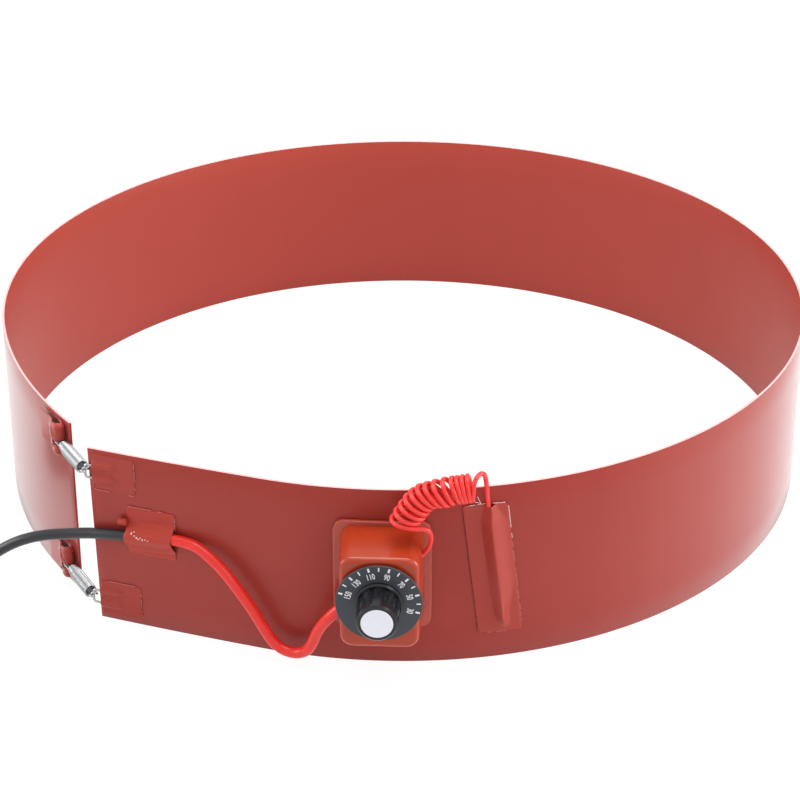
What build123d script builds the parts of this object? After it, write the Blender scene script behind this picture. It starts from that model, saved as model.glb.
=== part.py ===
from build123d import *
from math import cos, pi, radians, sin, tan
import os

# Silicone heater band for a drum, with a dial thermostat. Millimetres, +Z up.
# The origin is on the ring's axis, at the level of the surface that the band stands on.

os.makedirs("parts", exist_ok=True)

# Heating mat: a strip stood on edge as a ring, with a flatter flap at each end.
# The full circle is longer than the strip by ring_gap.
band_width = 125.0
band_length = 1740.0
band_thickness = 1.5
ring_gap = 25.6
flap_length = 116.0
flap_radius = 2600.0
flap_join_angle = -108.0
far_flap_length = 150.0
far_flap_radius = 360.0

# Fits: rubber that is glued on, and metal that lies in rubber
bond_gap = 0.3
snug_gap = 0.1

# Springs that close the ring, at the same distance from both edges
spring_inset = 16.0
spring_diameter = 8.0
spring_wire = 1.2
spring_end_room = 7.5
spring_turns = 24
spring_groove = 0.48
hook_radius = 2.6
hook_sweep = 250.0
hook_seat_gap = 0.2

# Near end: glued patches, each holding a wire staple that the spring hooks on
patch_length = 30.0
patch_height = 25.0
patch_thickness = 1.2
patch_corner = 2.0
tongue_length = 15.0
tongue_height = 15.0
tongue_thickness = 2.8
tongue_edge = 0.6
staple_wire = 1.6
staple_half_height = 4.5
staple_reach = 3.6
staple_leg = 12.0
staple_bend = 1.6

# Far end: folded rubber loops with a steel pin
loop_length = 27.0
loop_layer = 1.5
pin_diameter = 3.0
pin_end_inset = 1.0
pin_edge = 0.3
pin_from_edge = 9.0
loop_slot = 4.0
loop_slot_start = 4.0
loop_slot_reach = 16.0

# Patch over the joint between the mains cable and the heater's lead
joint_along = 38.5
joint_clearance = 8.5
joint_length = 36.0
joint_patch_height = 27.0
joint_thickness = 1.2
joint_wall = 1.2
exit_run = 10.0
arc_share = 0.45
cable_diameter = 7.2
cable_drop = 5.5
lead_diameter = 7.2
lead_drop = 2.5
swell_side = 2.6
sleeve_end_diameter = 5.0
sleeve_end_length = 4.0
sleeve_end_rise = 8.5

# Thermostat cover: one moulding, a flange and a hollow box
housing_along = 191.2
flange_width = 60.5
flange_length = 76.0
flange_thickness = 3.0
flange_corner = 7.0
flange_rise = 3.5
box_width = 52.0
box_length = 67.0
box_corner = 8.0
box_rise = 1.5
box_front = 39.3
box_wall = 3.0
box_taper = 3.0
box_edge = 3.5
lead_entry_out = 22.7
lead_entry_in = 5.7
lead_entry_drop = 9.7
lead_entry_reach = 4.0
lead_entry_slope = 9.5
capillary_exit_out = 18.0
capillary_exit_in = 5.6
capillary_exit_rise = 17.7
capillary_exit_reach = 2.6
capillary_exit_slope = 6.4

# Dial, knob and spindle, on one axis square to the cover's front
knob_rise = 2.5
dial_diameter = 53.0
dial_thickness = 1.4
dial_gap = 2.0
knob_base_diameter = 30.0
knob_rim_straight = 1.32
knob_rim_thickness = 2.2
knob_waist_diameter = 27.5
knob_top_diameter = 25.0
knob_length = 22.0
knob_edge = 1.0
knob_flutes = 10
flute_radius = 3.2
flute_depth = 1.5
flute_end_land = 2.6
cap_diameter = 19.6
cap_thickness = 1.2
cap_recess = 0.8
cap_edge = 0.4
spindle_diameter = 6.0
spindle_flat = 1.5
spindle_in_switch = 8.0
spindle_in_knob = 14.0
turning_gap = 0.08

# Capillary switch behind the cover's front
bracket_width = 36.0
bracket_length = 24.0
bracket_thickness = 1.2
screw_spacing = 28.0
screw_diameter = 3.5
screw_head_diameter = 6.5
screw_head_thickness = 1.5
screw_grip = 7.0
screw_slot_angle = 30.0
switch_width = 30.0
switch_length = 40.0
switch_depth = 22.0
switch_corner = 2.0
capsule_diameter = 24.0
capsule_thickness = 3.6
capsule_slope = 30.0
terminal_width = 6.3
terminal_thickness = 0.8
terminal_length = 5.0
terminal_spacing = 14.0
terminal_depth = 8.0

# Capillary: a sleeved tube that is coiled between the cover and the sensor pocket
capillary_diameter = 3.0
capillary_coil_diameter = 18.0

# Sensor pocket: a leaning patch with the bulb under it
pocket_gap = 24.25
pocket_rise = 3.5
pocket_lean = 6.9
pocket_width = 28.0
pocket_length = 94.0
pocket_thickness = 1.0
pocket_corner = 2.0
pocket_tent_side = 8.0
pocket_mouth_inset = 0.5
pocket_wall = 1.1
mouth_run = 5.0
tent_flank = 0.5
tent_full_length = 52.0
mouth_share = 0.6
foot_share = 0.3
bulb_diameter = 6.0
bulb_length = 72.0
bulb_edge = 1.0
bulb_drop = 2.0
bulb_across = 4.0

# Mains cable: the coil of its unseen length, and the plug
coil_reach = 159.2
coil_offset = 9.3
coil_middle_radius = 40.0
coil_bottom_turns = 3
coil_entry_angle = 80.0
coil_exit_angle = 20.0
tail_level_end = 27.5
tail_rise_end = 61.0
plug_start = 78.5
plug_diameter = 37.0
plug_head = 13.0
plug_grip_diameter = 28.0
plug_grip_start = 9.5
plug_shoulder = 3.0
plug_length = 38.0
plug_tail_diameter = 16.0
pin_circle = 19.0
plug_pin_diameter = 4.8
plug_pin_length = 19.0
plug_pin_root = 6.0
plug_pin_edge = 1.0
earth_width = 4.0
earth_thickness = 0.8
earth_length = 10.0
earth_room = 1.0
relief_length = 32.0
relief_end_diameter = 9.4
relief_ribs = 5
relief_rib_start = 0.7
relief_rib_width = 1.8
relief_rib_depth = 1.1

# Sizes that follow
ring_radius = (band_length + ring_gap) / (2 * pi)
ring_end = band_length - far_flap_length
half_band = band_thickness / 2
band_seat = half_band + bond_gap
upper_height = band_width - spring_inset
lower_height = spring_inset
pin_along = band_length - pin_from_edge
pin_out = band_seat + loop_layer + snug_gap + pin_diameter / 2
staple_out = band_seat + staple_wire / 2 + snug_gap
joint_top = upper_height - patch_height / 2 - joint_clearance
joint_height = joint_top - joint_patch_height / 2
cable_height = joint_height - cable_drop
lead_height = joint_height - lead_drop
joint_start = joint_along - joint_length / 2
joint_end = joint_along + joint_length / 2
cable_out = band_seat + joint_wall / 4 + cable_diameter / 2
flange_centre = band_width / 2 + flange_rise
box_centre = flange_centre + box_rise
knob_height = box_centre + knob_rise
pocket_along = housing_along + (flange_width + pocket_width) / 2 + pocket_gap
pocket_height = band_width / 2 + pocket_rise
box_inner_front = box_front - box_wall
bracket_front = box_inner_front - bond_gap
bracket_back = bracket_front - bracket_thickness
switch_back = bracket_back - switch_depth
dial_back = box_front + dial_gap
knob_back = dial_back + dial_thickness
bulb_out = band_seat + bond_gap + bulb_diameter / 2


def arc_on(start, run, radius):
    """Plan point and heading after a run along an arc that turns left."""
    x, y, heading = start
    ahead = heading + run / radius
    return x + radius * (sin(ahead) - sin(heading)), y - radius * (cos(ahead) - cos(heading)), ahead


def band_line(along):
    """Plan point and heading of the rubber's middle line, along mm from the near end."""
    join = radians(flap_join_angle)
    joined = (ring_radius * cos(join), ring_radius * sin(join), join + pi / 2)
    if along < flap_length:
        return arc_on(joined, along - flap_length, flap_radius)
    if along <= ring_end:
        return arc_on(joined, along - flap_length, ring_radius)
    left = arc_on(joined, ring_end - flap_length, ring_radius)
    return arc_on(left, along - ring_end, far_flap_radius)


def band_point(along, out):
    """Plan point that lies out mm outside the rubber's middle line."""
    x, y, heading = band_line(along)
    return x + out * sin(heading), y - out * cos(heading)


def band_plane(along, out, height):
    """Plane that faces outwards: its X runs along the band and its Y points up."""
    x, y = band_point(along, out)
    heading = band_line(along)[2]
    return Plane(
        origin=(x, y, height),
        x_dir=(cos(heading), sin(heading), 0),
        z_dir=(sin(heading), -cos(heading), 0),
    )


def section_plane(along, out, height):
    """Plane across the band: its X points up, its Y outwards, its normal along the band."""
    x, y = band_point(along, out)
    heading = band_line(along)[2]
    return Plane(origin=(x, y, height), x_dir=(0, 0, 1), z_dir=(cos(heading), sin(heading), 0))


def band_edge(start, end, out):
    """Plan arcs from start to end along the band, out mm outside its middle line."""
    stops = [start] + [joint for joint in (flap_length, ring_end) if start < joint < end] + [end]
    for first, last in zip(stops, stops[1:]):
        middle = (first + last) / 2
        ThreePointArc(band_point(first, out), band_point(middle, out), band_point(last, out))


def band_strip(start, end, inner, outer, bottom):
    """Plan outline of a strip that follows the band, at the height bottom."""
    with BuildSketch(Plane.XY.offset(bottom)) as strip:
        with BuildLine():
            band_edge(start, end, inner)
            band_edge(start, end, outer)
            Line(band_point(start, inner), band_point(start, outer))
            Line(band_point(end, inner), band_point(end, outer))
        make_face()
    return strip.sketch


def housing_point(across, out, height):
    """Point in the thermostat's frame: across along the band, out from the rubber's middle."""
    point = band_plane(housing_along, out, height).from_local_coords((across, 0, 0))
    return point.X, point.Y, point.Z


def route_radii(points):
    """Arc for each corner: its tangents take arc_share of the shorter run."""
    radii = []
    for before, here, after in zip(points, points[1:], points[2:]):
        run_in = Vector(*here) - Vector(*before)
        run_out = Vector(*after) - Vector(*here)
        half_turn = radians(run_in.get_angle(run_out)) / 2
        radii.append(arc_share * min(run_in.length, run_out.length) / tan(half_turn))
    return radii


def save(part, label):
    part.label = label
    export_step(part, f"parts/{label}.step")


# Heating mat
with BuildPart() as heater_mat:
    extrude(band_strip(0, band_length, -half_band, half_band, 0), amount=band_width, dir=(0, 0, 1))
save(heater_mat.part, "heater_mat")

# Spring ends: the pin in the far loop and the staple's bar at the near end
far_pin_point = Vector(*band_point(pin_along, pin_out), 0)
near_bar_point = Vector(*band_point(-staple_reach, staple_out), 0)
spring_direction = (near_bar_point - far_pin_point).normalized()
spring_span = (near_bar_point - far_pin_point).length
spring_body = spring_span - 2 * spring_end_room
spring_pitch = spring_body / spring_turns
hook_inner = hook_radius - spring_wire / 2
near_hook_centre = spring_span / 2 + staple_wire / 2 + hook_seat_gap - hook_inner
far_hook_centre = -spring_span / 2 - pin_diameter / 2 - hook_seat_gap + hook_inner

for place, height in (("upper", upper_height), ("lower", lower_height)):
    # Glued patch with a thicker tongue, and two channels for the staple's legs
    with BuildPart() as hook_patch:
        with BuildSketch(band_plane(patch_length / 2, band_seat, height)):
            RectangleRounded(patch_length, patch_height, patch_corner)
        extrude(amount=patch_thickness)
        with BuildSketch(band_plane(tongue_length / 2 + patch_thickness / 2, band_seat, height)):
            RectangleRounded(tongue_length, tongue_height, patch_corner)
        extrude(amount=tongue_thickness)
        fillet(faces().sort_by(Axis((0, 0, 0), band_plane(0, 0, 0).z_dir))[-1].edges(), radius=tongue_edge)
        with BuildSketch(section_plane(-staple_reach, staple_out, height)):
            with Locations((staple_half_height, 0), (-staple_half_height, 0)):
                Circle(staple_wire / 2 + snug_gap)
        extrude(amount=staple_reach + staple_leg + snug_gap, mode=Mode.SUBTRACT)
    save(hook_patch.part, f"hook_patch_{place}")

    # Wire staple: a bar beyond the mat's edge, with its legs in the patch
    with BuildPart() as hook_staple:
        with BuildLine(band_plane(0, staple_out, height)) as staple_line:
            FilletPolyline(
                (staple_leg, staple_half_height),
                (-staple_reach, staple_half_height),
                (-staple_reach, -staple_half_height),
                (staple_leg, -staple_half_height),
                radius=staple_bend,
            )
        with BuildSketch(Plane(origin=staple_line.line @ 0, z_dir=staple_line.line % 0)):
            Circle(staple_wire / 2)
        sweep()
    save(hook_staple.part, f"hook_staple_{place}")

    # Folded loop: two layers on the mat, and a tube of rubber round the pin
    with BuildPart() as far_loop:
        loop_bottom = height - patch_height / 2
        loop_start = pin_along - loop_length
        extrude(
            band_strip(loop_start, pin_along, band_seat, band_seat + 2 * loop_layer, loop_bottom),
            amount=patch_height,
            dir=(0, 0, 1),
        )
        with BuildSketch(Plane.XY.offset(loop_bottom)):
            with Locations(band_point(pin_along, pin_out)):
                Circle(pin_out - band_seat)
        extrude(amount=patch_height)
        with BuildSketch(Plane.XY.offset(loop_bottom)):
            with Locations(band_point(pin_along, pin_out)):
                Circle(pin_diameter / 2 + snug_gap)
        extrude(amount=patch_height, mode=Mode.SUBTRACT)
        with BuildSketch(band_plane(pin_along, half_band, height)):
            with Locations((loop_slot_reach / 2 - loop_slot_start, 0)):
                Rectangle(loop_slot_reach, loop_slot)
        extrude(amount=loop_slot_reach, mode=Mode.SUBTRACT)
    save(far_loop.part, f"far_loop_{place}")

    # Steel pin in the loop
    with BuildPart() as far_pin:
        with BuildSketch(Plane.XY.offset(loop_bottom + pin_end_inset)):
            with Locations(band_point(pin_along, pin_out)):
                Circle(pin_diameter / 2)
        extrude(amount=patch_height - 2 * pin_end_inset)
        chamfer(edges().filter_by(GeomType.CIRCLE), length=pin_edge)
    save(far_pin.part, f"far_pin_{place}")

    # Close-wound tension spring: a ridge for each turn, and a hook at each end
    spring_middle = (far_pin_point + near_bar_point) / 2 + Vector(0, 0, height)
    spring_plane = Plane(origin=spring_middle, x_dir=spring_direction, z_dir=(0, 0, 1))
    ridge = [(-spring_body / 2, spring_diameter / 2 - spring_wire)]
    for turn in range(spring_turns):
        turn_start = -spring_body / 2 + turn * spring_pitch
        ridge.append((turn_start, spring_diameter / 2 - spring_groove))
        ridge.append((turn_start + spring_pitch / 2, spring_diameter / 2))
    ridge.append((spring_body / 2, spring_diameter / 2 - spring_groove))
    ridge.append((spring_body / 2, spring_diameter / 2 - spring_wire))
    with BuildPart() as spring:
        with BuildSketch(spring_plane):
            with BuildLine():
                Polyline(*ridge, close=True)
            make_face()
        revolve(axis=Axis(spring_middle, spring_direction))
        for side, centre in ((1, near_hook_centre), (-1, far_hook_centre)):
            with BuildLine(spring_plane) as hook_line:
                hook_foot = side * (spring_body / 2 - spring_wire)
                Line((hook_foot, side * hook_radius), (centre, side * hook_radius))
                CenterArc((centre, 0), hook_radius, side * 90, -hook_sweep)
            with BuildSketch(Plane(origin=hook_line.line @ 0, z_dir=hook_line.line % 0)):
                Circle(spring_wire / 2)
            sweep()
    save(spring.part, f"spring_{place}")

# Patch over the joint, with the rubber swollen over the wires
with BuildPart() as joint_patch:
    with BuildSketch(band_plane(joint_along, band_seat, joint_height)):
        RectangleRounded(joint_length, joint_patch_height, patch_corner)
    extrude(amount=joint_thickness)
    swell_top = cable_out - band_seat + cable_diameter / 2 + joint_wall
    swell_half = cable_diameter / 2 + joint_wall + swell_side
    for along, height in ((joint_start, cable_height), (joint_end, lead_height)):
        with BuildSketch(section_plane(along, band_seat, height)):
            with BuildLine():
                ThreePointArc((-swell_half, 0), (0, swell_top), (swell_half, 0))
                Line((swell_half, 0), (-swell_half, 0))
            make_face()
    loft()
save(joint_patch.part, "joint_patch")

# End of the lead's sleeve, beside the mains cable
with BuildPart() as sleeve_end:
    sleeve_out = band_seat + sleeve_end_diameter / 2
    with BuildSketch(section_plane(joint_start, sleeve_out, cable_height + sleeve_end_rise)):
        Circle(sleeve_end_diameter / 2)
        Circle(sleeve_end_diameter / 4, mode=Mode.SUBTRACT)
    extrude(amount=-sleeve_end_length)
save(sleeve_end.part, "lead_sleeve_end")

# Where the lead and the capillary pass the box's side walls, each on a slant
half_box = box_width / 2
lead_entry_inside = housing_point(lead_entry_in - half_box, lead_entry_out, box_centre - lead_entry_drop)
lead_entry_outside = housing_point(
    -half_box - lead_entry_reach, lead_entry_out, box_centre - lead_entry_drop - lead_entry_slope
)
capillary_exit_inside = housing_point(
    half_box - capillary_exit_in, capillary_exit_out, box_centre + capillary_exit_rise
)
capillary_exit_outside = housing_point(
    half_box + capillary_exit_reach,
    capillary_exit_out,
    box_centre + capillary_exit_rise + capillary_exit_slope,
)

# Thermostat cover: the flange follows the band, and the box is hollow from behind
housing_out = band_plane(housing_along, 0, 0).z_dir
with BuildPart() as thermostat_cover:
    with BuildSketch(band_plane(housing_along, 0, flange_centre)):
        RectangleRounded(flange_width, flange_length, flange_corner)
    extrude(amount=box_front / 2)
    extrude(
        band_strip(
            housing_along - flange_width,
            housing_along + flange_width,
            band_seat,
            band_seat + flange_thickness,
            0,
        ),
        amount=band_width,
        dir=(0, 0, 1),
        mode=Mode.INTERSECT,
    )
    with BuildSketch(band_plane(housing_along, band_seat, box_centre)):
        RectangleRounded(box_width, box_length, box_corner)
    extrude(amount=box_front - band_seat, taper=box_taper)
    fillet(faces().sort_by(Axis((0, 0, 0), housing_out))[-1].edges(), radius=box_edge)
    with BuildSketch(band_plane(housing_along, band_seat, box_centre)):
        RectangleRounded(box_width - 2 * box_wall, box_length - 2 * box_wall, box_corner - box_wall)
    extrude(amount=box_inner_front - band_seat, taper=box_taper, mode=Mode.SUBTRACT)
    with BuildSketch(Plane.XY):
        Circle(ring_radius + band_seat)
    extrude(amount=band_width, mode=Mode.SUBTRACT)
    with BuildSketch(band_plane(housing_along, box_inner_front, knob_height)):
        Circle(spindle_diameter / 2 + bond_gap)
        with Locations((screw_spacing / 2, 0), (-screw_spacing / 2, 0)):
            Circle(screw_diameter / 2 + snug_gap)
    extrude(amount=box_wall, mode=Mode.SUBTRACT)
    for inside, outside, diameter in (
        (lead_entry_inside, lead_entry_outside, lead_diameter),
        (capillary_exit_inside, capillary_exit_outside, capillary_diameter),
    ):
        hole_run = Vector(*outside) - Vector(*inside)
        with BuildSketch(Plane(origin=inside, z_dir=hole_run).offset(-box_wall)):
            Circle(diameter / 2 + bond_gap)
        extrude(amount=hole_run.length + 2 * box_wall, mode=Mode.SUBTRACT)
save(thermostat_cover.part, "thermostat_cover")

# Bracket that carries the switch behind the cover's front
with BuildPart() as switch_bracket:
    with BuildSketch(band_plane(housing_along, bracket_back, knob_height)):
        RectangleRounded(bracket_width, bracket_length, switch_corner)
        Circle(spindle_diameter / 2 + turning_gap, mode=Mode.SUBTRACT)
        with Locations((screw_spacing / 2, 0), (-screw_spacing / 2, 0)):
            Circle(screw_diameter / 2 + snug_gap / 2, mode=Mode.SUBTRACT)
    extrude(amount=bracket_thickness)
save(switch_bracket.part, "switch_bracket")

# Two slotted screws through the cover's front into the bracket
with BuildPart() as bracket_screws:
    with BuildSketch(band_plane(housing_along, box_front, knob_height)):
        with Locations((screw_spacing / 2, 0), (-screw_spacing / 2, 0)):
            Circle(screw_head_diameter / 2)
    extrude(amount=screw_head_thickness)
    with BuildSketch(band_plane(housing_along, box_front, knob_height)):
        with Locations((screw_spacing / 2, 0), (-screw_spacing / 2, 0)):
            Circle(screw_diameter / 2)
    extrude(amount=-screw_grip)
    with BuildSketch(band_plane(housing_along, box_front + screw_head_thickness, knob_height)):
        with Locations((screw_spacing / 2, 0), (-screw_spacing / 2, 0)):
            Rectangle(screw_head_diameter, screw_head_thickness / 2, rotation=screw_slot_angle)
    extrude(amount=-screw_head_thickness / 2, mode=Mode.SUBTRACT)
save(bracket_screws.part, "bracket_screws")

# Switch block, with the spindle's bush in its front and room for the screws' ends
with BuildPart() as switch_block:
    with BuildSketch(band_plane(housing_along, switch_back, knob_height)):
        RectangleRounded(switch_width, switch_length, switch_corner)
    extrude(amount=switch_depth)
    with BuildSketch(band_plane(housing_along, bracket_back, knob_height)):
        Circle(spindle_diameter / 2 + turning_gap)
    extrude(amount=-spindle_in_switch - turning_gap, mode=Mode.SUBTRACT)
    with BuildSketch(band_plane(housing_along, bracket_back, knob_height)):
        with Locations((screw_spacing / 2, 0), (-screw_spacing / 2, 0)):
            Circle(screw_diameter / 2 + bond_gap)
    extrude(amount=-screw_grip, mode=Mode.SUBTRACT)
save(switch_block.part, "switch_block")

# Diaphragm capsule behind the block, two shallow dishes with a rolled rim
with BuildPart() as diaphragm_capsule:
    capsule_plane = band_plane(housing_along, switch_back, knob_height)
    with BuildSketch(capsule_plane):
        Circle(capsule_diameter / 2)
    extrude(amount=-capsule_thickness / 2)
    with BuildSketch(capsule_plane.offset(-capsule_thickness / 2)):
        Circle(capsule_diameter / 2 - capsule_thickness / 2)
    extrude(amount=-capsule_thickness / 2, taper=capsule_slope)
save(diaphragm_capsule.part, "diaphragm_capsule")

# Two blade terminals on the lead's side of the block
with BuildPart() as switch_terminals:
    terminal_across = -switch_width / 2
    terminal_out = switch_back + terminal_depth
    terminal_root = Vector(*housing_point(terminal_across, terminal_out, knob_height))
    terminal_heading = -band_plane(housing_along, 0, 0).x_dir
    terminal_plane = Plane(origin=terminal_root, x_dir=(0, 0, 1), z_dir=terminal_heading)
    with BuildSketch(terminal_plane):
        with Locations((terminal_spacing / 2, 0), (-terminal_spacing / 2, 0)):
            Rectangle(terminal_thickness, terminal_width)
    extrude(amount=terminal_length)
save(switch_terminals.part, "switch_terminals")

# Spindle with a flat along the end that the knob grips
with BuildPart() as spindle:
    spindle_foot = bracket_back - spindle_in_switch
    with BuildSketch(band_plane(housing_along, spindle_foot, knob_height)):
        Circle(spindle_diameter / 2)
    extrude(amount=knob_back + spindle_in_knob - spindle_foot)
    with BuildSketch(band_plane(housing_along, dial_back, knob_height)):
        with Locations((0, spindle_diameter / 2)):
            Rectangle(spindle_diameter, 2 * spindle_flat)
    extrude(amount=spindle_in_knob + dial_thickness, mode=Mode.SUBTRACT)
save(spindle.part, "spindle")

# Dial disc
with BuildPart() as dial_disc:
    with BuildSketch(band_plane(housing_along, dial_back, knob_height)):
        Circle(dial_diameter / 2)
        Circle(spindle_diameter / 2 + snug_gap / 2, mode=Mode.SUBTRACT)
    extrude(amount=dial_thickness)
    dial_circles = edges().filter_by(GeomType.CIRCLE)
    dial_rims = dial_circles.filter_by(lambda circle: circle.radius > knob_base_diameter / 2)
    chamfer(dial_rims, length=dial_thickness / 4)
save(dial_disc.part, "dial_disc")

# Fluted knob: a rim, a tapered grip, a blind bore and a recess for the cap
knob_plane = band_plane(housing_along, knob_back, knob_height)
knob_axis = Axis(knob_plane.origin, knob_plane.z_dir)
knob_section = Plane(origin=knob_plane.origin, x_dir=knob_plane.x_dir, z_dir=-knob_plane.y_dir)
knob_bore = spindle_diameter / 2 + snug_gap / 2
with BuildPart() as control_knob:
    with BuildSketch(knob_section):
        with BuildLine():
            Polyline(
                (knob_bore, 0),
                (knob_base_diameter / 2, 0),
                (knob_base_diameter / 2, knob_rim_straight),
                (knob_waist_diameter / 2, knob_rim_thickness),
                (knob_top_diameter / 2, knob_length - knob_edge),
                (knob_top_diameter / 2 - knob_edge, knob_length),
                (cap_diameter / 2 + snug_gap / 2, knob_length),
                (cap_diameter / 2 + snug_gap / 2, knob_length - cap_recess),
                (0, knob_length - cap_recess),
                (0, spindle_in_knob + snug_gap),
                (knob_bore, spindle_in_knob + snug_gap),
                close=True,
            )
        make_face()
    revolve(axis=knob_axis)
    with BuildSketch(knob_plane.offset(knob_rim_thickness)):
        with PolarLocations(knob_waist_diameter / 2 + flute_radius - flute_depth, knob_flutes):
            Circle(flute_radius)
    extrude(amount=knob_length - knob_rim_thickness - flute_end_land, mode=Mode.SUBTRACT)
save(control_knob.part, "control_knob")

# Cap disc, bare
with BuildPart() as knob_cap:
    with BuildSketch(knob_plane.offset(knob_length - cap_recess)):
        Circle(cap_diameter / 2)
    extrude(amount=cap_thickness)
    chamfer(faces().sort_by(Axis((0, 0, 0), housing_out))[-1].edges(), length=cap_edge)
save(knob_cap.part, "knob_cap")

# Sensor pocket: a leaning patch on the curved mat, raised like a tent over the bulb
pocket_upright = band_plane(pocket_along, 0, pocket_height)
pocket_plane = Plane(
    origin=pocket_upright.origin,
    x_dir=pocket_upright.x_dir * cos(radians(pocket_lean)) + Vector(0, 0, sin(radians(pocket_lean))),
    z_dir=pocket_upright.z_dir,
)
pocket_section = Plane(origin=pocket_plane.origin, x_dir=pocket_plane.x_dir, z_dir=-pocket_plane.y_dir)
tent_top = bulb_out + bulb_diameter / 2 + bond_gap + pocket_wall
mouth_top = band_seat + capillary_diameter + 2 * pocket_wall
tent_stations = (
    (pocket_mouth_inset - pocket_length / 2, pocket_tent_side * mouth_share, mouth_top),
    (-tent_full_length / 2, pocket_tent_side, tent_top),
    (tent_full_length / 2, pocket_tent_side, tent_top),
    (pocket_length / 2 - pocket_corner, pocket_tent_side * foot_share, band_seat + 2 * pocket_wall),
)
with BuildPart() as sensor_pocket:
    with BuildSketch(pocket_plane):
        RectangleRounded(pocket_width, pocket_length, pocket_corner)
    extrude(amount=tent_top)
    extrude(
        band_strip(
            pocket_along - pocket_width,
            pocket_along + pocket_width,
            band_seat,
            band_seat + pocket_thickness,
            0,
        ),
        amount=band_width,
        dir=(0, 0, 1),
        mode=Mode.INTERSECT,
    )
    for station, side, top in tent_stations:
        with BuildSketch(pocket_section.offset(station)):
            with BuildLine():
                Spline(
                    (bulb_across - side, band_seat),
                    (bulb_across, top),
                    (bulb_across + side, band_seat),
                    tangents=((1, tent_flank), (1, 0), (1, -tent_flank)),
                )
                Line((bulb_across + side, band_seat), (bulb_across - side, band_seat))
            make_face()
    loft()
    with BuildSketch(Plane.XY):
        Circle(ring_radius + band_seat)
    extrude(amount=band_width, mode=Mode.SUBTRACT)
    with BuildSketch(pocket_section.offset(bulb_drop - bulb_length / 2 - bond_gap)):
        with Locations((bulb_across, bulb_out)):
            Circle(bulb_diameter / 2 + bond_gap)
    extrude(amount=bulb_length + 2 * bond_gap, mode=Mode.SUBTRACT)
save(sensor_pocket.part, "sensor_pocket")

# Sensor bulb, with its capillary's root at the top
with BuildPart() as sensor_bulb:
    with BuildSketch(pocket_section.offset(bulb_drop - bulb_length / 2)):
        with Locations((bulb_across, bulb_out)):
            Circle(bulb_diameter / 2)
    extrude(amount=bulb_length)
    chamfer(edges().filter_by(GeomType.CIRCLE), length=bulb_edge)
save(sensor_bulb.part, "sensor_bulb")

# Coil of the mains cable's unseen length: a layer of turns on the floor and one in their grooves
joint_exit = section_plane(joint_start, cable_out, cable_height)
joint_exit_x, joint_exit_y, joint_exit_height = tuple(joint_exit.origin)
coil_centre = (joint_exit_x - coil_reach, joint_exit_y - coil_offset)
coil_half_width = (coil_bottom_turns - 1) / 2 * cable_diameter
coil_outer_turn = coil_middle_radius + coil_half_width
coil_outer = coil_outer_turn + cable_diameter / 2
coil_inner = coil_middle_radius - coil_half_width - cable_diameter / 2
layer_rise = cable_diameter * sin(pi / 3)
coil_height = cable_diameter + layer_rise
coil_entry = radians(coil_entry_angle)
coil_entry_radius = coil_outer_turn - cable_diameter / 2
coil_exit = radians(coil_exit_angle)
coil_heading = (-sin(coil_exit), cos(coil_exit))
coil_leave = (
    coil_centre[0] + coil_outer_turn * cos(coil_exit),
    coil_centre[1] + coil_outer_turn * sin(coil_exit),
)


def beside_coil(distance, height):
    """Point on the line on which the cable leaves its coil."""
    return (
        coil_leave[0] + distance * coil_heading[0],
        coil_leave[1] + distance * coil_heading[1],
        height,
    )


# Routes of the cords, each through points that were read from the photo.
# Cable: reach beyond the joint, offset and height, then onto the coil's top turn.
cable_route = [
    tuple(joint_exit.origin),
    tuple(joint_exit.offset(-exit_run).origin),
    *[
        (joint_exit_x - reach, joint_exit_y + offset, height)
        for reach, offset, height in (
            (22.2, 8.9, 66.8),
            (36.2, 13.1, 63.2),
            (53.2, 16.7, 59.6),
            (70.6, 19.5, 52.6),
            (87.2, 22.1, 40.6),
            (102.2, 24.7, 27.4),
            (118.2, 27.5, 17.0),
            (134.2, 30.5, 11.3),
        )
    ],
    (
        coil_centre[0] + coil_entry_radius * cos(coil_entry),
        coil_centre[1] + coil_entry_radius * sin(coil_entry),
        cable_diameter / 2 + layer_rise,
    ),
]
plug_axis_height = plug_diameter / 2
tail_route = [
    beside_coil(exit_run, cable_diameter / 2),
    beside_coil(tail_level_end, cable_diameter / 2),
    beside_coil(tail_rise_end, plug_axis_height),
    beside_coil(plug_start, plug_axis_height),
]

# Lead: share of the way from the joint to the cover, distance from the rubber and height
lead_exit = section_plane(joint_end, cable_out, lead_height)
lead_span = housing_along - half_box - joint_end
lead_route = [
    tuple(lead_exit.origin),
    tuple(lead_exit.offset(exit_run).origin),
    *[
        (*band_point(joint_end + share * lead_span, out), height)
        for share, out, height in (
            (0.175, 7.0, 70.6),
            (0.254, 9.5, 65.2),
            (0.338, 10.5, 57.0),
            (0.417, 10.6, 45.2),
            (0.501, 10.5, 33.0),
            (0.590, 10.5, 20.9),
            (0.651, 10.8, 12.2),
            (0.711, 11.5, 8.2),
            (0.776, 12.8, 9.2),
            (0.822, 14.6, 14.6),
            (0.854, 16.6, 22.6),
            (0.903, 19.6, 34.0),
        )
    ],
    lead_entry_outside,
    lead_entry_inside,
]

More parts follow.
